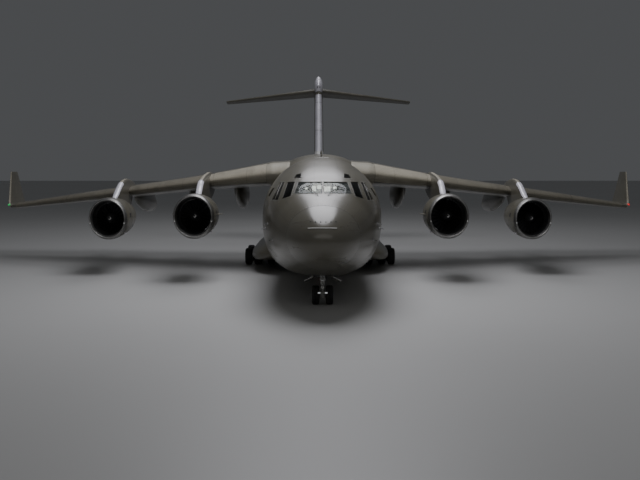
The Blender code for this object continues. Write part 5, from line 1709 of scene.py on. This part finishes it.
joint = 0.0016
pieces = []
for low, high in ((0.062, 0.13), (0.215, 0.46), (0.46, 0.8), (0.8, 0.9)):
    places = spread(low + joint, high - joint, 0.05)
    pieces.append(nose_strip("fin_nose", fin_ring, places, 8))
fit(join("fin_nose", pieces), POLISHED_HIGHLIGHT)
fit(nose_strip("fin_foot", lambda t, by: fin_ring(t, by * 5), (0.13, 0.14, 0.17, 0.205, 0.215), 9),
    WHITE_PAINT)
print("fin nose pieces", len(pieces))


# %% Tailplane and elevators
def plane_size(x):
    """Leading edge, chord, thickness and height of the tailplane at a place across."""
    root, tip = STABILISER
    t = abs(x) / tip[0]
    return tuple(a + (b - a) * t for a, b in zip(root[1:], tip[1:]))


def plane_ring(x, grow_by=0.0):
    s, chord, thick, z = plane_size(x)
    return [(x, s + aft, z + up) for aft, up in foil(chord, thick, grow_by)]


across = [-STABILISER[1][0] * k / 8 for k in range(8, 0, -1)] + [STABILISER[1][0] * k / 8 for k in range(9)]
plane = loft("tailplane_skin", [plane_ring(x) for x in across])
guide = loft("guide", [plane_ring(x) for x in across])
root, tip = STABILISER
hinge_root, hinge_tip = root[1] + root[2] * TAIL_HINGE_SHARE, tip[1] + tip[2] * TAIL_HINGE_SHARE
edges = []
for hand, side in SIDES:
    along = Vector((side * tip[0], hinge_tip - hinge_root, tip[4] - root[4]))
    ends = tuple(x / tip[0] * along.length for x in ELEVATOR)
    elevator = control_surface(f"elevator_skin_{hand}", plane, guide, Hinge((0, hinge_root, root[4]), along),
        ends, (0.235, 0.112), 4)
    skin(elevator, SMALL_PAINT, f"elevator_{hand}", f"elevator_{hand}")
    for a, b in ((0.55, 4.1), (4.1, 7.2), (7.2, 9.88)):
        edges.append(nose_strip("edge", plane_ring, [side * x for x in spread(a + 0.015, b - 0.015, 0.6)], 6))
remove(guide)
skin(plane, PAINT, "stabiliser")
fit(join("tailplane_edges", edges), SMALL_PAINT)
print("tailplane span", round(2 * STABILISER[1][0], 1), "m")


# %% Slots and tail lamp
slots = [block("slot", (-0.15, 0.15), (43.72, 43.9), (15.5, 15.62))]
foot_z = 8.62
foot_s = fin_size((foot_z - FIN[0][0]) / (FIN[1][0] - FIN[0][0]))[1]
slots.append(block("slot", (0.13, 0.23), (foot_s + 0.1, foot_s + 0.45), (foot_z, foot_z + 0.4)))
fit(bevel(join("tail_slots", slots), 0.01), DARK)
beacon = lathe("beacon_fin", (0, 46.2, 16.72), (0, 46.2, 17.5),
    ((0.0, 0.1), (0.03, 0.1), (0.04, 0.075), (0.09, 0.06), (0.12, 0.03), (0.125, 0.0)), 20)
fit(beacon, RED_LAMP)
tail_lamp = lathe("tail_lamp", (0, 51.5, BULLET_Z), (0, 53, BULLET_Z),
    ((0.0, 0.07), (0.05, 0.068), (0.09, 0.05), (0.12, 0.0)), 20)
fit(tail_lamp, WHITE_LAMP)
print("tail details done")

# %% [markdown]
# ## Wheels
# A tyre is a turned shape: a bulging sidewall, a rounded shoulder and a nearly flat tread with four grooves. The rim
# is a second turned shape, dished on both sides, with a ring of bolts and a ring of dark discs, painted shade where
# lightening holes would be. Twelve main wheels stand in four groups of three, and two steer the nose.

# %% Tyre, rim and hub profiles
TYRE_SIDE = ((0.17, 0.5), (0.07, 0.56), (0.012, 0.66), (0.0, 0.74), (0.012, 0.82), (0.05, 0.9), (0.12, 0.956),
    (0.2, 0.984), (0.27, 0.993))
GROOVES = (0.33, 0.46)
RIM_SIDE = ((0.105, 0.505), (0.085, 0.535), (0.1, 0.54), (0.13, 0.51), (0.17, 0.475), (0.3, 0.45),
    (0.34, 0.4), (0.35, 0.31), (0.31, 0.295), (0.24, 0.285), (0.24, 0.225), (0.2, 0.215), (0.2, 0.18))


def both_sides(rows):
    """A profile over half the width, followed by its mirror image."""
    return [*rows, *((1 - far, r) for far, r in reversed(rows))]


def wheel(x, s, radius, width):
    """Tyre and rim of one wheel, standing on the ground."""
    tread = []
    for far in GROOVES:
        tread += [(far - 0.016, 0.997), (far - 0.013, 0.972), (far + 0.013, 0.972), (far + 0.016, 0.998)]
    a, b = (x - width / 2, s, radius), (x + width / 2, s, radius)
    tyre = lathe("tyre", a, b, [(far * width, r * radius) for far, r in both_sides((*TYRE_SIDE, *tread))], 72,
        loop=True, sharp=50)
    rim = lathe("rim", a, b, [(far * width, r * radius) for far, r in both_sides(RIM_SIDE)], 48, loop=True,
        sharp=40)
    return tyre, rim


bolt = stamp("bolt", ((0.0, 0.02), (0.022, 0.02), (0.026, 0.012), (0.026, 0.0)), 6)
# The rim's holes are not cut: dark discs stand in for them, as painted shade.
hole = stamp("hole", ((-0.004, 0.0), (-0.004, 0.034), (0.003, 0.032), (0.003, 0.0)), 14)


def wheel_ring(piece, count, far, centre, way, finish):
    return grow("ring", RING, piece, finish, Count=count, Radius=far * SCALE, Turn=(0, way * pi / 2, 0),
        Centre=at(*centre))


def axle_set(body, s, places, radius, width, ends):
    """All the wheels on one axle, as one body."""
    tyres, rims, bolts, hole_shades = [], [], [], []
    for x in places:
        tyre, rim = wheel(x, s, radius, width)
        tyres.append(tyre)
        rims.append(rim)
        for way in (1, -1):
            bolts.append(wheel_ring(bolt, 10, 0.255 * radius, (x + way * 0.26 * width, s, radius), way,
                STEEL))
            hole_shades.append(wheel_ring(hole, 9, 0.355 * radius, (x + way * 0.155 * width, s, radius), way, DARK))
    low, high = ends
    axle = lathe(f"{body}_axle", (low, s, radius), (high, s, radius),
        ((0.0, 0.0), (0.0, 0.06), (0.02, 0.085), (0.04, 0.1), (high - low - 0.04, 0.1),
        (high - low - 0.02, 0.085), (high - low, 0.06), (high - low, 0.0)), 28)
    fit(join(f"{body}_tyres", tyres), RUBBER, body, [body])
    fit(join(f"{body}_rims", rims), GEAR, body)
    fit(join(f"{body}_bolts", bolts), STEEL, body)
    fit(join(f"{body}_holes", hole_shades), DARK, body)
    fit(axle, STEEL, body)


NOSE_S, NOSE_RADIUS, NOSE_WIDTH, NOSE_TYRE_X = 5.24, 0.51, 0.4, 0.37
MAIN_AXLES = (("front", 24.05), ("rear", 26.6))
MAIN_TYRES, MAIN_RADIUS, MAIN_WIDTH, STRUT_X = (5.45, 4.75, 3.75), 0.635, 0.53, 4.25
axle_set("nose_wheels", NOSE_S, (-NOSE_TYRE_X, NOSE_TYRE_X), NOSE_RADIUS, NOSE_WIDTH, (-0.6, 0.6))
for hand, side in SIDES:
    for label, s in MAIN_AXLES:
        axle_set(f"main_wheels_{label}_{hand}", s, [side * x for x in MAIN_TYRES], MAIN_RADIUS, MAIN_WIDTH,
            sorted((side * 3.45, side * 5.75)))
remove(bolt, hole)
print("wheels", 2 + 12)

# %% [markdown]
# ## Legs
# Each leg is an oleo: a wide outer cylinder with collars, and a bright inner tube that slides in it. Scissor links
# in front of it keep the axle from turning. On the nose leg everything below the collar steers, and so do two lamps
# on a bar in front of the wheels.

# %% Scissor links and pipes
def scissors(name, x, s, low, high, reach, half=0.055, thick=0.045, way=-1):
    """Two links that meet at a knee ahead of the leg (or behind it)."""
    knee = (low + high) / 2
    made = []
    for z in (low, high):
        a, b = Vector((x, s + way * 0.06, z)), Vector((x, s + way * reach, knee))
        ahead = (b - a).normalized()
        across = Vector((0, -ahead.z, ahead.y)) * thick / 2
        rings = []
        for t, wide in ((0.0, 1.0), (0.25, 0.95), (0.85, 0.5), (1.0, 0.5)):
            p = a.lerp(b, t)
            rings.append([p + across * up + Vector((half * wide * out, 0, 0))
                for up, out in ((1, -1), (1, 1), (-1, 1), (-1, -1))])
        made.append(bevel(loft(name, rings), 0.008))
        made.append(rod(name, (x - half, s + way * 0.06, z), (x + half, s + way * 0.06, z), thick * 0.6, 16))
    made.append(rod(name, (x - half * 0.8, s + way * reach, knee), (x + half * 0.8, s + way * reach, knee),
        thick * 0.65, 16))
    return made


# %% Nose leg and steering
NOSE_LEG_END = 1.3
leg = lathe("nose_leg_cylinder", (0, NOSE_S, NOSE_LEG_END), (0, NOSE_S, BAY_ROOF),
    ((0.0, 0.1), (0.0, 0.15), (0.02, 0.17), (0.14, 0.17), (0.16, 0.145), (0.42, 0.145), (0.44, 0.168),
    (0.54, 0.168), (0.56, 0.145), (1.3, 0.145), (1.32, 0.165), (1.58, 0.165), (1.58, 0.0)), 36)
brace = [rod("brace", (side * 0.1, NOSE_S + 0.06, 1.8), (side * 0.3, BAY_S[1] - 0.25, BAY_ROOF - 0.1), 0.045,
    18) for side in (1, -1)]
brace += [rod("brace", (-0.34, BAY_S[1] - 0.25, BAY_ROOF - 0.1), (0.34, BAY_S[1] - 0.25, BAY_ROOF - 0.1),
    0.05, 18), rod("brace", (-0.16, NOSE_S + 0.06, 1.8), (0.16, NOSE_S + 0.06, 1.8), 0.05, 18)]
fit(join("nose_leg_parts", [leg, *brace]), GEAR, stands_for=["nose_leg"])
jacks = []
for side in (1, -1):
    jacks.append(rod("jack", (side * 0.09, NOSE_S - 0.24, 1.38), (side * 0.09, NOSE_S - 0.2, 2.2), 0.028, 18))
fit(join("nose_leg_jacks", jacks), CHROME)
sleeves = [lathe("sleeve", (side * 0.09, NOSE_S - 0.243, 1.32), (side * 0.09, NOSE_S - 0.2, 2.2),
    ((0.0, 0.0), (0.0, 0.045), (0.1, 0.05), (0.16, 0.045), (0.17, 0.028)), 18) for side in (1, -1)]
sleeves += [block("lug", (side * 0.06, side * 0.12), (NOSE_S - 0.26, NOSE_S - 0.1), (1.33, 1.4))
    for side in (1, -1)]
fit(join("nose_leg_sleeves", sleeves), GEAR)
fork = lathe("fork", (0, NOSE_S, NOSE_RADIUS + 0.1), (0, NOSE_S, NOSE_LEG_END),
    ((0.0, 0.0), (0.0, 0.1), (0.05, 0.12), (0.12, 0.115), (0.15, 0.09), (0.52, 0.09), (0.54, 0.118),
    (0.66, 0.118), (0.665, 0.0)), 36)
hub = lathe("hub", (-0.14, NOSE_S, NOSE_RADIUS), (0.14, NOSE_S, NOSE_RADIUS),
    ((0.0, 0.1), (0.0, 0.14), (0.02, 0.165), (0.07, 0.178), (0.21, 0.178), (0.26, 0.165), (0.28, 0.14),
    (0.28, 0.1)), 36, loop=True)
tow = [lathe("eye", (side * 0.02, NOSE_S - 0.23, NOSE_RADIUS), (side * 0.05, NOSE_S - 0.23, NOSE_RADIUS),
    ((0.0, 0.03), (0.0, 0.06), (0.03, 0.06), (0.03, 0.03)), 20, loop=True) for side in (1, -1)]
pieces = [fork, hub, *tow, block("lug", (-0.05, 0.05), (NOSE_S - 0.2, NOSE_S - 0.12),
    (NOSE_RADIUS - 0.05, NOSE_RADIUS + 0.05))]
fit(join("nose_fork", pieces), GEAR, "nose_steering", ["nose_steering"])
fit(join("nose_scissors", scissors("link", 0, NOSE_S, 0.76, 1.21, 0.27)), GEAR, "nose_steering")
LAMP_X, LAMP_S, LAMP_Z = (0.11, 0.26), 4.69, 0.7
shells, lenses = [], []
for side in (1, -1):
    shells.append(block("shell", [side * v for v in LAMP_X], (LAMP_S + 0.008, LAMP_S + 0.06),
        (LAMP_Z - 0.042, LAMP_Z + 0.042)))
    lens = block("lens", [side * v for v in (LAMP_X[0] + 0.008, LAMP_X[1] - 0.008)], (LAMP_S, LAMP_S + 0.02),
        (LAMP_Z - 0.034, LAMP_Z + 0.034))
    lenses.append(bevel(lens, 0.012, 3))
shells.append(tube_along("bar", [(side * far, LAMP_S + 0.07, LAMP_Z - down)
    for side, far, down in ((-1, 0.2, 0), (-1, 0.07, 0.005), (1, 0.0, 0.035), (1, 0.07, 0.005), (1, 0.2, 0))],
    0.018))
shells.append(rod("bar", (0, LAMP_S + 0.07, LAMP_Z - 0.035), (0, NOSE_S - 0.08, LAMP_Z + 0.02), 0.022, 12))
shells.append(lathe("knob", (0, NOSE_S - 0.37, 0.96), (0, NOSE_S - 0.2, 0.96),
    ((0.0, 0.0), (0.0, 0.07), (0.012, 0.095), (0.06, 0.1), (0.09, 0.085), (0.11, 0.05), (0.17, 0.05),
    (0.17, 0.0)), 24))
fit(join("nose_lamp_brackets", shells), GEAR, "nose_steering")
fit(join("nose_lamps", lenses), WHITE_LAMP, "nose_steering")
inner_tube = rod("nose_oleo", (0, NOSE_S, NOSE_LEG_END - 0.14), (0, NOSE_S, NOSE_LEG_END + 0.1), 0.088, 32)
fit(inner_tube, CHROME, "nose_steering")
print("nose leg", round(BAY_ROOF - NOSE_RADIUS, 2), "m long")


# %% Nose gear doors
strips, rods = [], []
DOOR_S = (BAY_S[0] + 0.2, BAY_S[1] - 0.2)
for hand, side in SIDES:
    edge = BAY_HALF - REST
    outline = ((edge - 0.05, 0.18), (edge, 0.18), (edge, -0.05), (0.8, -0.17), (0.97, -0.24), (0.95, -0.29),
        (0.78, -0.215), (edge - 0.05, -0.08))
    door = loft(f"nose_door_{hand}", [[(side * x, s, keel_z(s) + up) for x, up in outline]
        for s in spread(*DOOR_S, 0.12)])
    skin(bevel(door, 0.01, 2, 30), PLAIN_PAINT, f"nose_gear_door_{hand}")
    s = DOOR_S[0]
    lip = [(edge + 0.02, -0.045), (0.8, -0.165), (0.975, -0.237), (0.985, -0.25), (0.955, -0.3),
        (0.945, -0.283), (0.79, -0.195), (edge + 0.01, -0.075)]
    strips.append(loft("strip", [[(side * x, q, keel_z(s) + up) for x, up in lip]
        for q in (s - 0.012, s + 0.01)]))
    for q in (4.85, 5.9):
        rods.append(rod("stay", (side * 0.62, q, keel_z(q) - 0.07), (side * 0.5, q + 0.1, 1.95), 0.022, 12))
fit(join("nose_door_lips", strips), WHITE_PAINT)
fit(join("nose_door_stays", rods), STEEL)
print("doors", DOOR_S)

# %% [markdown]
# ## Sponsons and main legs
# A sponson is the long bulge on each lower side that houses the main gear. Its section is smooth, and it shrinks to
# a point at both ends. The bay in it is cut with a block whose faces carry the second material, so that the cut
# comes out white inside.

# %% Sponsons with their bays
SPONSON = ((16.8, 0.06), (17.5, 0.5), (19.0, 0.8), (21.0, 0.95), (23.0, 1.0), (29.5, 1.0), (32.5, 0.72),
    (34.6, 0.35), (35.5, 0.06))
SPONSON_SECTION = ((2.2, 3.2), (3.3, 2.75), (4.0, 2.2), (4.4, 1.86), (4.75, 1.6), (4.97, 1.4), (5.06, 1.18),
    (5.04, 0.92), (4.8, 0.74), (3.9, 0.7), (1.6, 0.7))
SPONSON_CORE, MAIN_BAY, MAIN_BAY_STEP = (2.6, 1.7), (3.35, 23.3, 27.4, 1.6), (4.43, 1.34)
inner, bay_s0, bay_s1, roof = MAIN_BAY
cx, cz = SPONSON_CORE
section = through(SPONSON_SECTION, 5)
for hand, side in SIDES:
    rings = []
    for s, share in through(SPONSON, 8):
        share = min(share, 1.0)
        rings.append([(side * (cx + (x - cx) * share), s, cz + (z - cz) * share) for x, z in section])
    sponson = loft(f"sponson_skin_{hand}", rings)
    for finish in (PAINT, BAY):
        sponson.data.materials.append(finish)
    step, low_roof = MAIN_BAY_STEP
    bay = ((inner, 0), (6, 0), (6, low_roof), (step, low_roof), (step, roof), (inner, roof))
    room = prism("tool", [(side * x, z) for x, z in bay], (bay_s0, bay_s1))
    for finish in (PAINT, BAY):
        room.data.materials.append(finish)
    for face in room.data.polygons:
        face.material_index = 1
    carve(sponson, hull_solid("tool", spread(16, 38, 1.0), 0.03), room)
    skin(sponson, (PAINT, BAY), f"sponson_{hand}")
print("sponson", round(SPONSON[-1][0] - SPONSON[0][0], 1), "m long")


# %% Main legs, brakes and bay ribs
pistons, links, ribs, pipes = [], [], [], []
for hand, side in SIDES:
    x = side * STRUT_X
    for label, s in MAIN_AXLES:
        z = MAIN_RADIUS
        cylinder = lathe(f"main_leg_{label}_{hand}", (x, s, z + 0.42), (x, s, roof),
            ((0.0, 0.0), (0.0, 0.14), (0.02, 0.16), (0.09, 0.16), (0.11, 0.14), (0.42, 0.14), (0.44, 0.155),
            (roof - z - 0.425, 0.155), (roof - z - 0.425, 0.0)), 32)
        piston = rod("piston", (x, s, z), (x, s, z + 0.44), 0.095, 28)
        hub = lathe("hub", (x - 0.18, s, z), (x + 0.18, s, z),
            ((0.0, 0.1), (0.0, 0.17), (0.03, 0.205), (0.09, 0.22), (0.27, 0.22), (0.33, 0.205), (0.36, 0.17),
            (0.36, 0.1)), 32, loop=True)
        fit(join(f"main_leg_{label}_{hand}", [cylinder, hub]), GEAR,
            stands_for=[f"main_strut_{label}_{hand}"])
        pistons.append(piston)
        links += scissors("link", x, s, z + 0.2, z + 0.52, 0.36, 0.07, 0.05)
        pipes.append(tube_along("pipe", [(x + side * 0.11, s - 0.12, z + 0.05),
            (x + side * 0.13, s - 0.16, z + 0.4), (x + side * 0.13, s - 0.14, z + 0.8),
            (x + side * 0.1, s - 0.13, roof - 0.02)], 0.016))
    for s in spread(bay_s0 + 0.35, bay_s1 - 0.35, 0.55):
        if all(abs(s - axle) > 0.25 for label, axle in MAIN_AXLES):
            ribs.append(block("rib", (side * (inner + 0.004), side * (inner + 0.06)), (s - 0.03, s + 0.03),
                (1.0, roof)))
fit(join("main_leg_pistons", pistons), CHROME)
fit(join("main_leg_scissors", links), GEAR)
fit(join("main_leg_pipes", pipes), DARK)
fit(join("main_bay_ribs", ribs), BAY)
print("main legs", len(pistons))

# %% [markdown]
# ## The flight deck
# Through the windscreen one sees the instrument board under its shade, two seats, a bright overhead board and the
# lined rear wall. The engineering model has plain blocks there, so the whole deck is made again: a ribbed floor, a
# board with screens, a pedestal with knobs, side desks and a padded wall. The seats come in the next step.

# %% Floor, rear wall, boards and desks
def board(name, rows, half, finish, width=0.01):
    """A side view outline, bevelled, across the middle of the hull."""
    return fit(bevel(slab(name, rows, (-half, half)), width, 2), finish)


ROOM_STEPS = spread(2.6, 8.4, 0.2)
deck = block("flight_deck_floor", (-4, 4), (3.45, DECK_END - 0.005), (DECK_Z - 0.12, DECK_Z))
deck = keep(deck, hull_solid("tool", ROOM_STEPS, WALL + 0.004))
fit(deck, DECK, stands_for=["flight_deck"])
wall = block("flight_deck_wall", (-4, 4), (DECK_END - 0.12, DECK_END - 0.006), (DECK_Z + 0.002, 7.6))
wall = keep(wall, hull_solid("tool", ROOM_STEPS, WALL + 0.004))
fit(wall, LINING)
board("instrument_board", ((3.5, DECK_Z + 0.01), (3.86, DECK_Z + 0.01), (3.84, 5.3), (3.98, 5.36),
    (3.98, 5.42), (3.62, 5.6), (3.5, 5.58)), 1.3, DARK)
board("pedestal", ((3.9, DECK_Z + 0.01), (5.1, DECK_Z + 0.01), (5.1, 5.02), (4.2, 5.1), (3.9, 5.28)), 0.24,
    DARK)
for hand, side in SIDES:
    desk = block(f"side_desk_{hand}", (side * 1.25, side * 2.6), (4.2, 6.6), (DECK_Z + 0.004, 5.12))
    desk = keep(desk, hull_solid("tool", ROOM_STEPS, WALL + 0.01))
    fit(bevel(desk, 0.02), LINING)
screens_made = [bevel(slab("screen", rectangle(3.868, 3.84, 4.98, 5.24)[::-1], (x - 0.15, x + 0.15)), 0.01)
    for x in (-1.05, -0.7, -0.2, 0.2, 0.7, 1.05)]
fit(join("board_screens", screens_made), SCREEN)
knob = stamp("knob", ((0.0, 0.012), (0.02, 0.012), (0.024, 0.008), (0.024, 0.0)), 10)
knobs = []
for k in range(5):
    low, high = at(-0.18, 4.3 + 0.17 * k, 5.09 - 0.015 * k), at(-0.42, 4.75 + 0.2 * k, 6.72 + 0.035 * k)
    knobs.append(grow("row", ROW, knob, STEEL, Count=7, Start=low, Step=(0.06 * SCALE, 0, 0)))
    knobs.append(grow("row", ROW, knob, WHITE_PAINT, Count=15, Start=high, Step=(0.06 * SCALE, 0, 0),
        Turn=(pi, 0, 0)))
fit(join("overhead_knobs", knobs[1::2]), WHITE_PAINT)
fit(join("pedestal_knobs", knobs[0::2]), STEEL)
remove(knob)
board("overhead_board", ((4.6, 6.7), (5.7, 6.89), (5.7, 6.97), (4.6, 6.8)), 0.5, LINING)
glow = [bevel(block("lamp", (side * 0.66, side * 1.1), (5.0, 5.16), (6.7, 6.74)), 0.01) for side in (1, -1)]
glow.append(bevel(block("lamp", (-0.5, 0.5), (7.5, 7.62), (6.98, 7.02)), 0.01))
fit(join("cabin_lamps", glow), GLOW)
# Small patches on the rear wall glow as painted light; they are not lamps.
WALL_GLOW_PATCHES = ((-0.56, -0.34, 5.96, 6.27), (-0.27, -0.04, 6.09, 6.31), (0.12, 0.46, 5.96, 6.25),
    (-0.96, -0.82, 6.08, 6.2), (0.62, 0.8, 6.1, 6.24))
panels = [bevel(block("panel", (x0, x1), (7.6, DECK_END - 0.124), (z0, z1)), 0.01)
    for x0, x1, z0, z1 in WALL_GLOW_PATCHES]
fit(join("lit_wall_panels", panels), WALL_GLOW)
print("boards made")

# %% [markdown]
# ## Quilted wall and seats
# The wall behind the crew carries a pale quilted blanket, and each seat has two pads and a headrest in cloth. A pad
# starts as a closed box a little smaller than its place. It is remeshed, and Cloth with inner pressure swells it,
# so that its sides pull in between the corners. One pad of each kind is simulated and copied to the other seat.

# %% Swelling a pad with Cloth
PAD_VOXEL, PAD_PRESSURE, PAD_FRAMES, PAD_CAP = 0.01, 4.0, 20, 0.016


def swell(pad, rounds=1):
    """Inflate a closed pad with a short cloth simulation and keep the result as its mesh."""
    step = pad.modifiers.new("remesh", "REMESH")
    step.mode, step.voxel_size = "VOXEL", PAD_VOXEL
    bake(pad)
    before = [v.co.copy() for v in pad.data.vertices]
    cloth_step = pad.modifiers.new("cloth", "CLOTH")
    cloth_step.settings.use_pressure = True
    cloth_step.settings.uniform_pressure_force = PAD_PRESSURE
    cloth_step.settings.effector_weights.gravity = 0
    for moment in range(1, PAD_FRAMES + 1):
        bpy.context.scene.frame_set(moment)
    bake(pad)
    for vert, was in zip(pad.data.vertices, before):
        move = vert.co - was
        if move.length > PAD_CAP:
            vert.co = was + move.normalized() * PAD_CAP
    bpy.context.scene.frame_set(1)
    if rounds:
        finer = pad.modifiers.new("finer", "SUBSURF")
        finer.levels = finer.render_levels = rounds
        bake(pad)
    pad.data.shade_smooth()
    return pad


def moved_copy(obj, name, across, up=0.0):
    made = link(name, obj.data.copy())
    made.data.transform(Matrix.Translation(Vector((across, 0, up)) * SCALE))
    return made


SEAT_X = 0.72
PADS = (
    ("seat_pad", (-0.24, 0.24), (4.93, 5.34), (5.07, 5.17)),
    ("back_pad", (-0.22, 0.22), (5.29, 5.355), (5.22, 5.8)),
    ("headrest", (-0.13, 0.13), (5.27, 5.36), (5.86, 6.02)),
)
for label, x, s, z in PADS:
    first = swell(bevel(block(f"{label}_port", [v + SEAT_X for v in x], s, z), 0.03, 3))
    second = moved_copy(first, f"{label}_starboard", -2 * SEAT_X)
    for pad in (first, second):
        fit(pad, CLOTH)
    print(label, len(first.data.vertices), "points")

# %% Seat frames and the quilted blanket
for hand, side in SIDES:
    x = side * SEAT_X
    parts = [bevel(slab("shell", ((4.92, 5.0), (5.38, 5.0), (5.4, 5.82), (5.48, 5.84), (5.5, 4.94),
        (4.92, 4.94)), (x - 0.26, x + 0.26)), 0.015), block("stem", (x - 0.1, x + 0.1), (5.0, 5.35),
        (DECK_Z + 0.004, 4.96)), block("rail", (x - 0.3, x - 0.25), (4.85, 5.55),
        (DECK_Z + 0.002, DECK_Z + 0.04)), block("rail", (x + 0.25, x + 0.3), (4.85, 5.55),
        (DECK_Z + 0.002, DECK_Z + 0.04)), rod("post", (x, 5.42, 5.8), (x, 5.42, 6.0), 0.02, 12)]
    for arm in (1, -1):
        parts.append(bevel(block("arm", (x + arm * 0.27, x + arm * 0.33), (4.98, 5.42), (5.33, 5.38)), 0.012))
        parts.append(block("arm_stay", (x + arm * 0.262, x + arm * 0.3), (5.4, 5.45), (5.0, 5.36)))
    fit(join(f"seat_frame_{hand}", parts), STEEL)
WALL_PADS = [(x, z) for z in (5.86, 6.28) for x in (-1.5, -0.9, -0.3, 0.3, 0.9, 1.5)]
quilt = swell(bevel(block("quilt", (-0.27, 0.27), (DECK_END - 0.19, DECK_END - 0.135), (-0.18, 0.18)), 0.025,
    3), 0)
for i, (x, z) in enumerate(WALL_PADS):
    pad = moved_copy(quilt, f"wall_pad_{i + 1}", x, z)
    fit(pad, QUILT)
remove(quilt)
print("wall pads", len(WALL_PADS))

# %% [markdown]
# ## Small things on the skin
# Blade aerials, lamps, drains, lit strips and hatches break up the large surfaces. Each aerial is a small swept
# fin that stands on the skin, lofted in four sections. The static wicks behind the wings and the tail planes are
# thin rods in rows, and they ride on the surface that they are fixed to.

# %% Aerials, beacons and strips
def aerial(foot, out, tall, chord, name="aerial"):
    """A swept blade that stands on the skin and thins towards its tip."""
    out = Vector(out).normalized()
    across = out.cross(Vector((0, 1, 0))).normalized()
    back = across.cross(out)
    back = back if back.y > 0 else -back
    rings = []
    for far, sweep, long, wide in ((-0.08, 0.0, 1.12, 0.11), (0.0, 0.0, 1.0, 0.1), (0.6, 0.32, 0.72, 0.07),
            (0.97, 0.52, 0.5, 0.045), (1.0, 0.56, 0.42, 0.01)):
        middle = Vector(foot) + out * tall * far + back * chord * (sweep + (1 - long) * 0.2)
        rings.append([middle + back * chord * long * (0.5 - 0.5 * p) + across * chord * wide * q
            for p, q in circle(20)])
    return loft(name, rings)


blades = []
for s, tall, chord in ((10.9, 0.34, 0.42), (13.2, 0.46, 0.55), (34.6, 0.4, 0.5)):
    blades.append(aerial(from_above(0, s, 0.0), (0, 0, 1), tall, chord))
for s, tall, chord in ((8.2, 0.36, 0.45), (11.6, 0.3, 0.4), (14.6, 0.42, 0.5), (17.4, 0.3, 0.36)):
    blades.append(aerial(from_above(0, s, 0.0, True), (0, 0, -1), tall, chord))
fit(join("blade_aerials", blades), PLAIN_PAINT)
foot, out = from_above(0, 19.6, 0.0, True), Vector((0, 0, -1))
dome = lathe("red_beacons", foot, foot + out, ((0.02, 0.09), (0.08, 0.085), (0.13, 0.06), (0.15, 0.03),
    (0.155, 0.0)), 24)
fit(dome, RED_LAMP)
base = ((0.0, 0.16), (0.035, 0.155), (0.055, 0.12), (0.06, 0.1), (0.06, 0.0))
fit(lathe("beacon_bases", foot - out * 0.03, foot + out, base, 28), PLAIN_PAINT)
strips = []
for hand, side in SIDES:
    for s0, s1, z in ((11.6, 13.4, 5.0), (31.2, 33.0, 5.0), (9.2, 10.2, 3.0)):
        corners = rectangle(s0, s1, z - 0.05, z + 0.05)
        strips.append(pane("strip", corners, sideways(side), 0.012, 0.03, 6))
fit(join("formation_strips", strips), STRIP_LAMP)
hatches = []
for hand, side in SIDES:
    for s0, s1, z0, z1 in ((9.0, 9.9, 5.3, 6.6), (4.9, 5.5, 2.6, 3.1), (6.9, 7.5, 2.2, 2.7),
            (31.6, 32.5, 5.4, 6.6), (12.4, 13.2, 2.2, 2.9), (15.2, 16.0, 2.2, 2.9), (17.6, 17.9, 4.6, 5.1)):
        if (s0, side) != (6.9, 1):
            corners = rectangle(s0, s1, z0, z1)
            hatches.append(window_frame("hatch", corners, sideways(side), 0.035, 0.008, 0.03))
for x0, x1, s0, s1 in ((-0.38, 0.38, 9.1, 10.1), (-0.5, 0.5, 12.0, 12.7)):
    corners = rectangle(x0, x1, s0, s1)
    hatches.append(window_frame("hatch", corners, from_above, 0.04, 0.01, 0.03))
fit(join("hatch_rims", hatches), SMALL_PAINT)
ports = []
for hand, side in SIDES:
    for s, z in ((9.45, 6.2), (32.05, 6.2), (34.6, 5.0)):
        corners = rectangle(s - 0.13, s + 0.13, z - 0.17, z + 0.17)
        ports.append(pane("port", corners, sideways(side), 0.008, 0.03, 5))
fit(join("hatch_panes", ports), DARK)
print("aerials", len(blades), "hatches", len(hatches))

# %% Drains
drains = []
for x, s in ((0.35, 12.6), (-0.4, 16.2), (0.3, 20.6), (-0.35, 30.5)):
    foot = from_above(x, s, -0.02, True)
    drains.append(aerial(foot, outward(*from_above(x, s, 0.0, True)), 0.16, 0.16))
fit(join("drain_masts", drains), PLAIN_PAINT)
print("drains", len(drains))


# %% Static wicks
def wicks(body, name, a, b, count, long=0.42):
    a, b = Vector(a), Vector(b)
    wick = stamp("wick", ((0.0, 0.012), (0.1, 0.012), (0.11, 0.006), (long, 0.005), (long, 0.0)), 6)
    made = grow(name, ROW, wick, DARK, Count=count, Start=at(*a), Step=(b - a) / (count - 1) * SCALE,
        Turn=(-pi / 2, 0, 0))
    remove(wick)
    return fit(made, DARK, body)


for hand, side in SIDES:
    def wing_edge(x):
        return (side * x, lead(x) + wing_size(x)[0] - 0.06, wing_z(x))

    def plane_edge(x):
        s, chord, thick, z = plane_size(x)
        return (side * x, s + chord - 0.06, z)

    wicks(f"aileron_{hand}", f"aileron_wicks_{hand}", wing_edge(19.2), wing_edge(23.8), 6)
    wicks("root", f"wing_tip_wicks_{hand}", wing_edge(24.4), wing_edge(24.9), 2, 0.36)
    wicks(f"elevator_{hand}", f"elevator_wicks_{hand}", plane_edge(5.2), plane_edge(9.0), 5, 0.36)
fin_edge = [(0, sum(fin_size(t)[1:3]) - 0.06, fin_size(t)[0]) for t in (0.58, 0.88)]
wicks("rudder_upper", "rudder_wicks", *fin_edge, 4)
print("wicks", 2 * (6 + 2 + 5) + 4)

# %% Clean up and count the triangles
remove(stud)
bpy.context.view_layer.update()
print("triangles", sum(len(obj.data.loop_triangles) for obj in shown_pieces() if obj.type == "MESH"
    and not obj.data.calc_loop_triangles()))
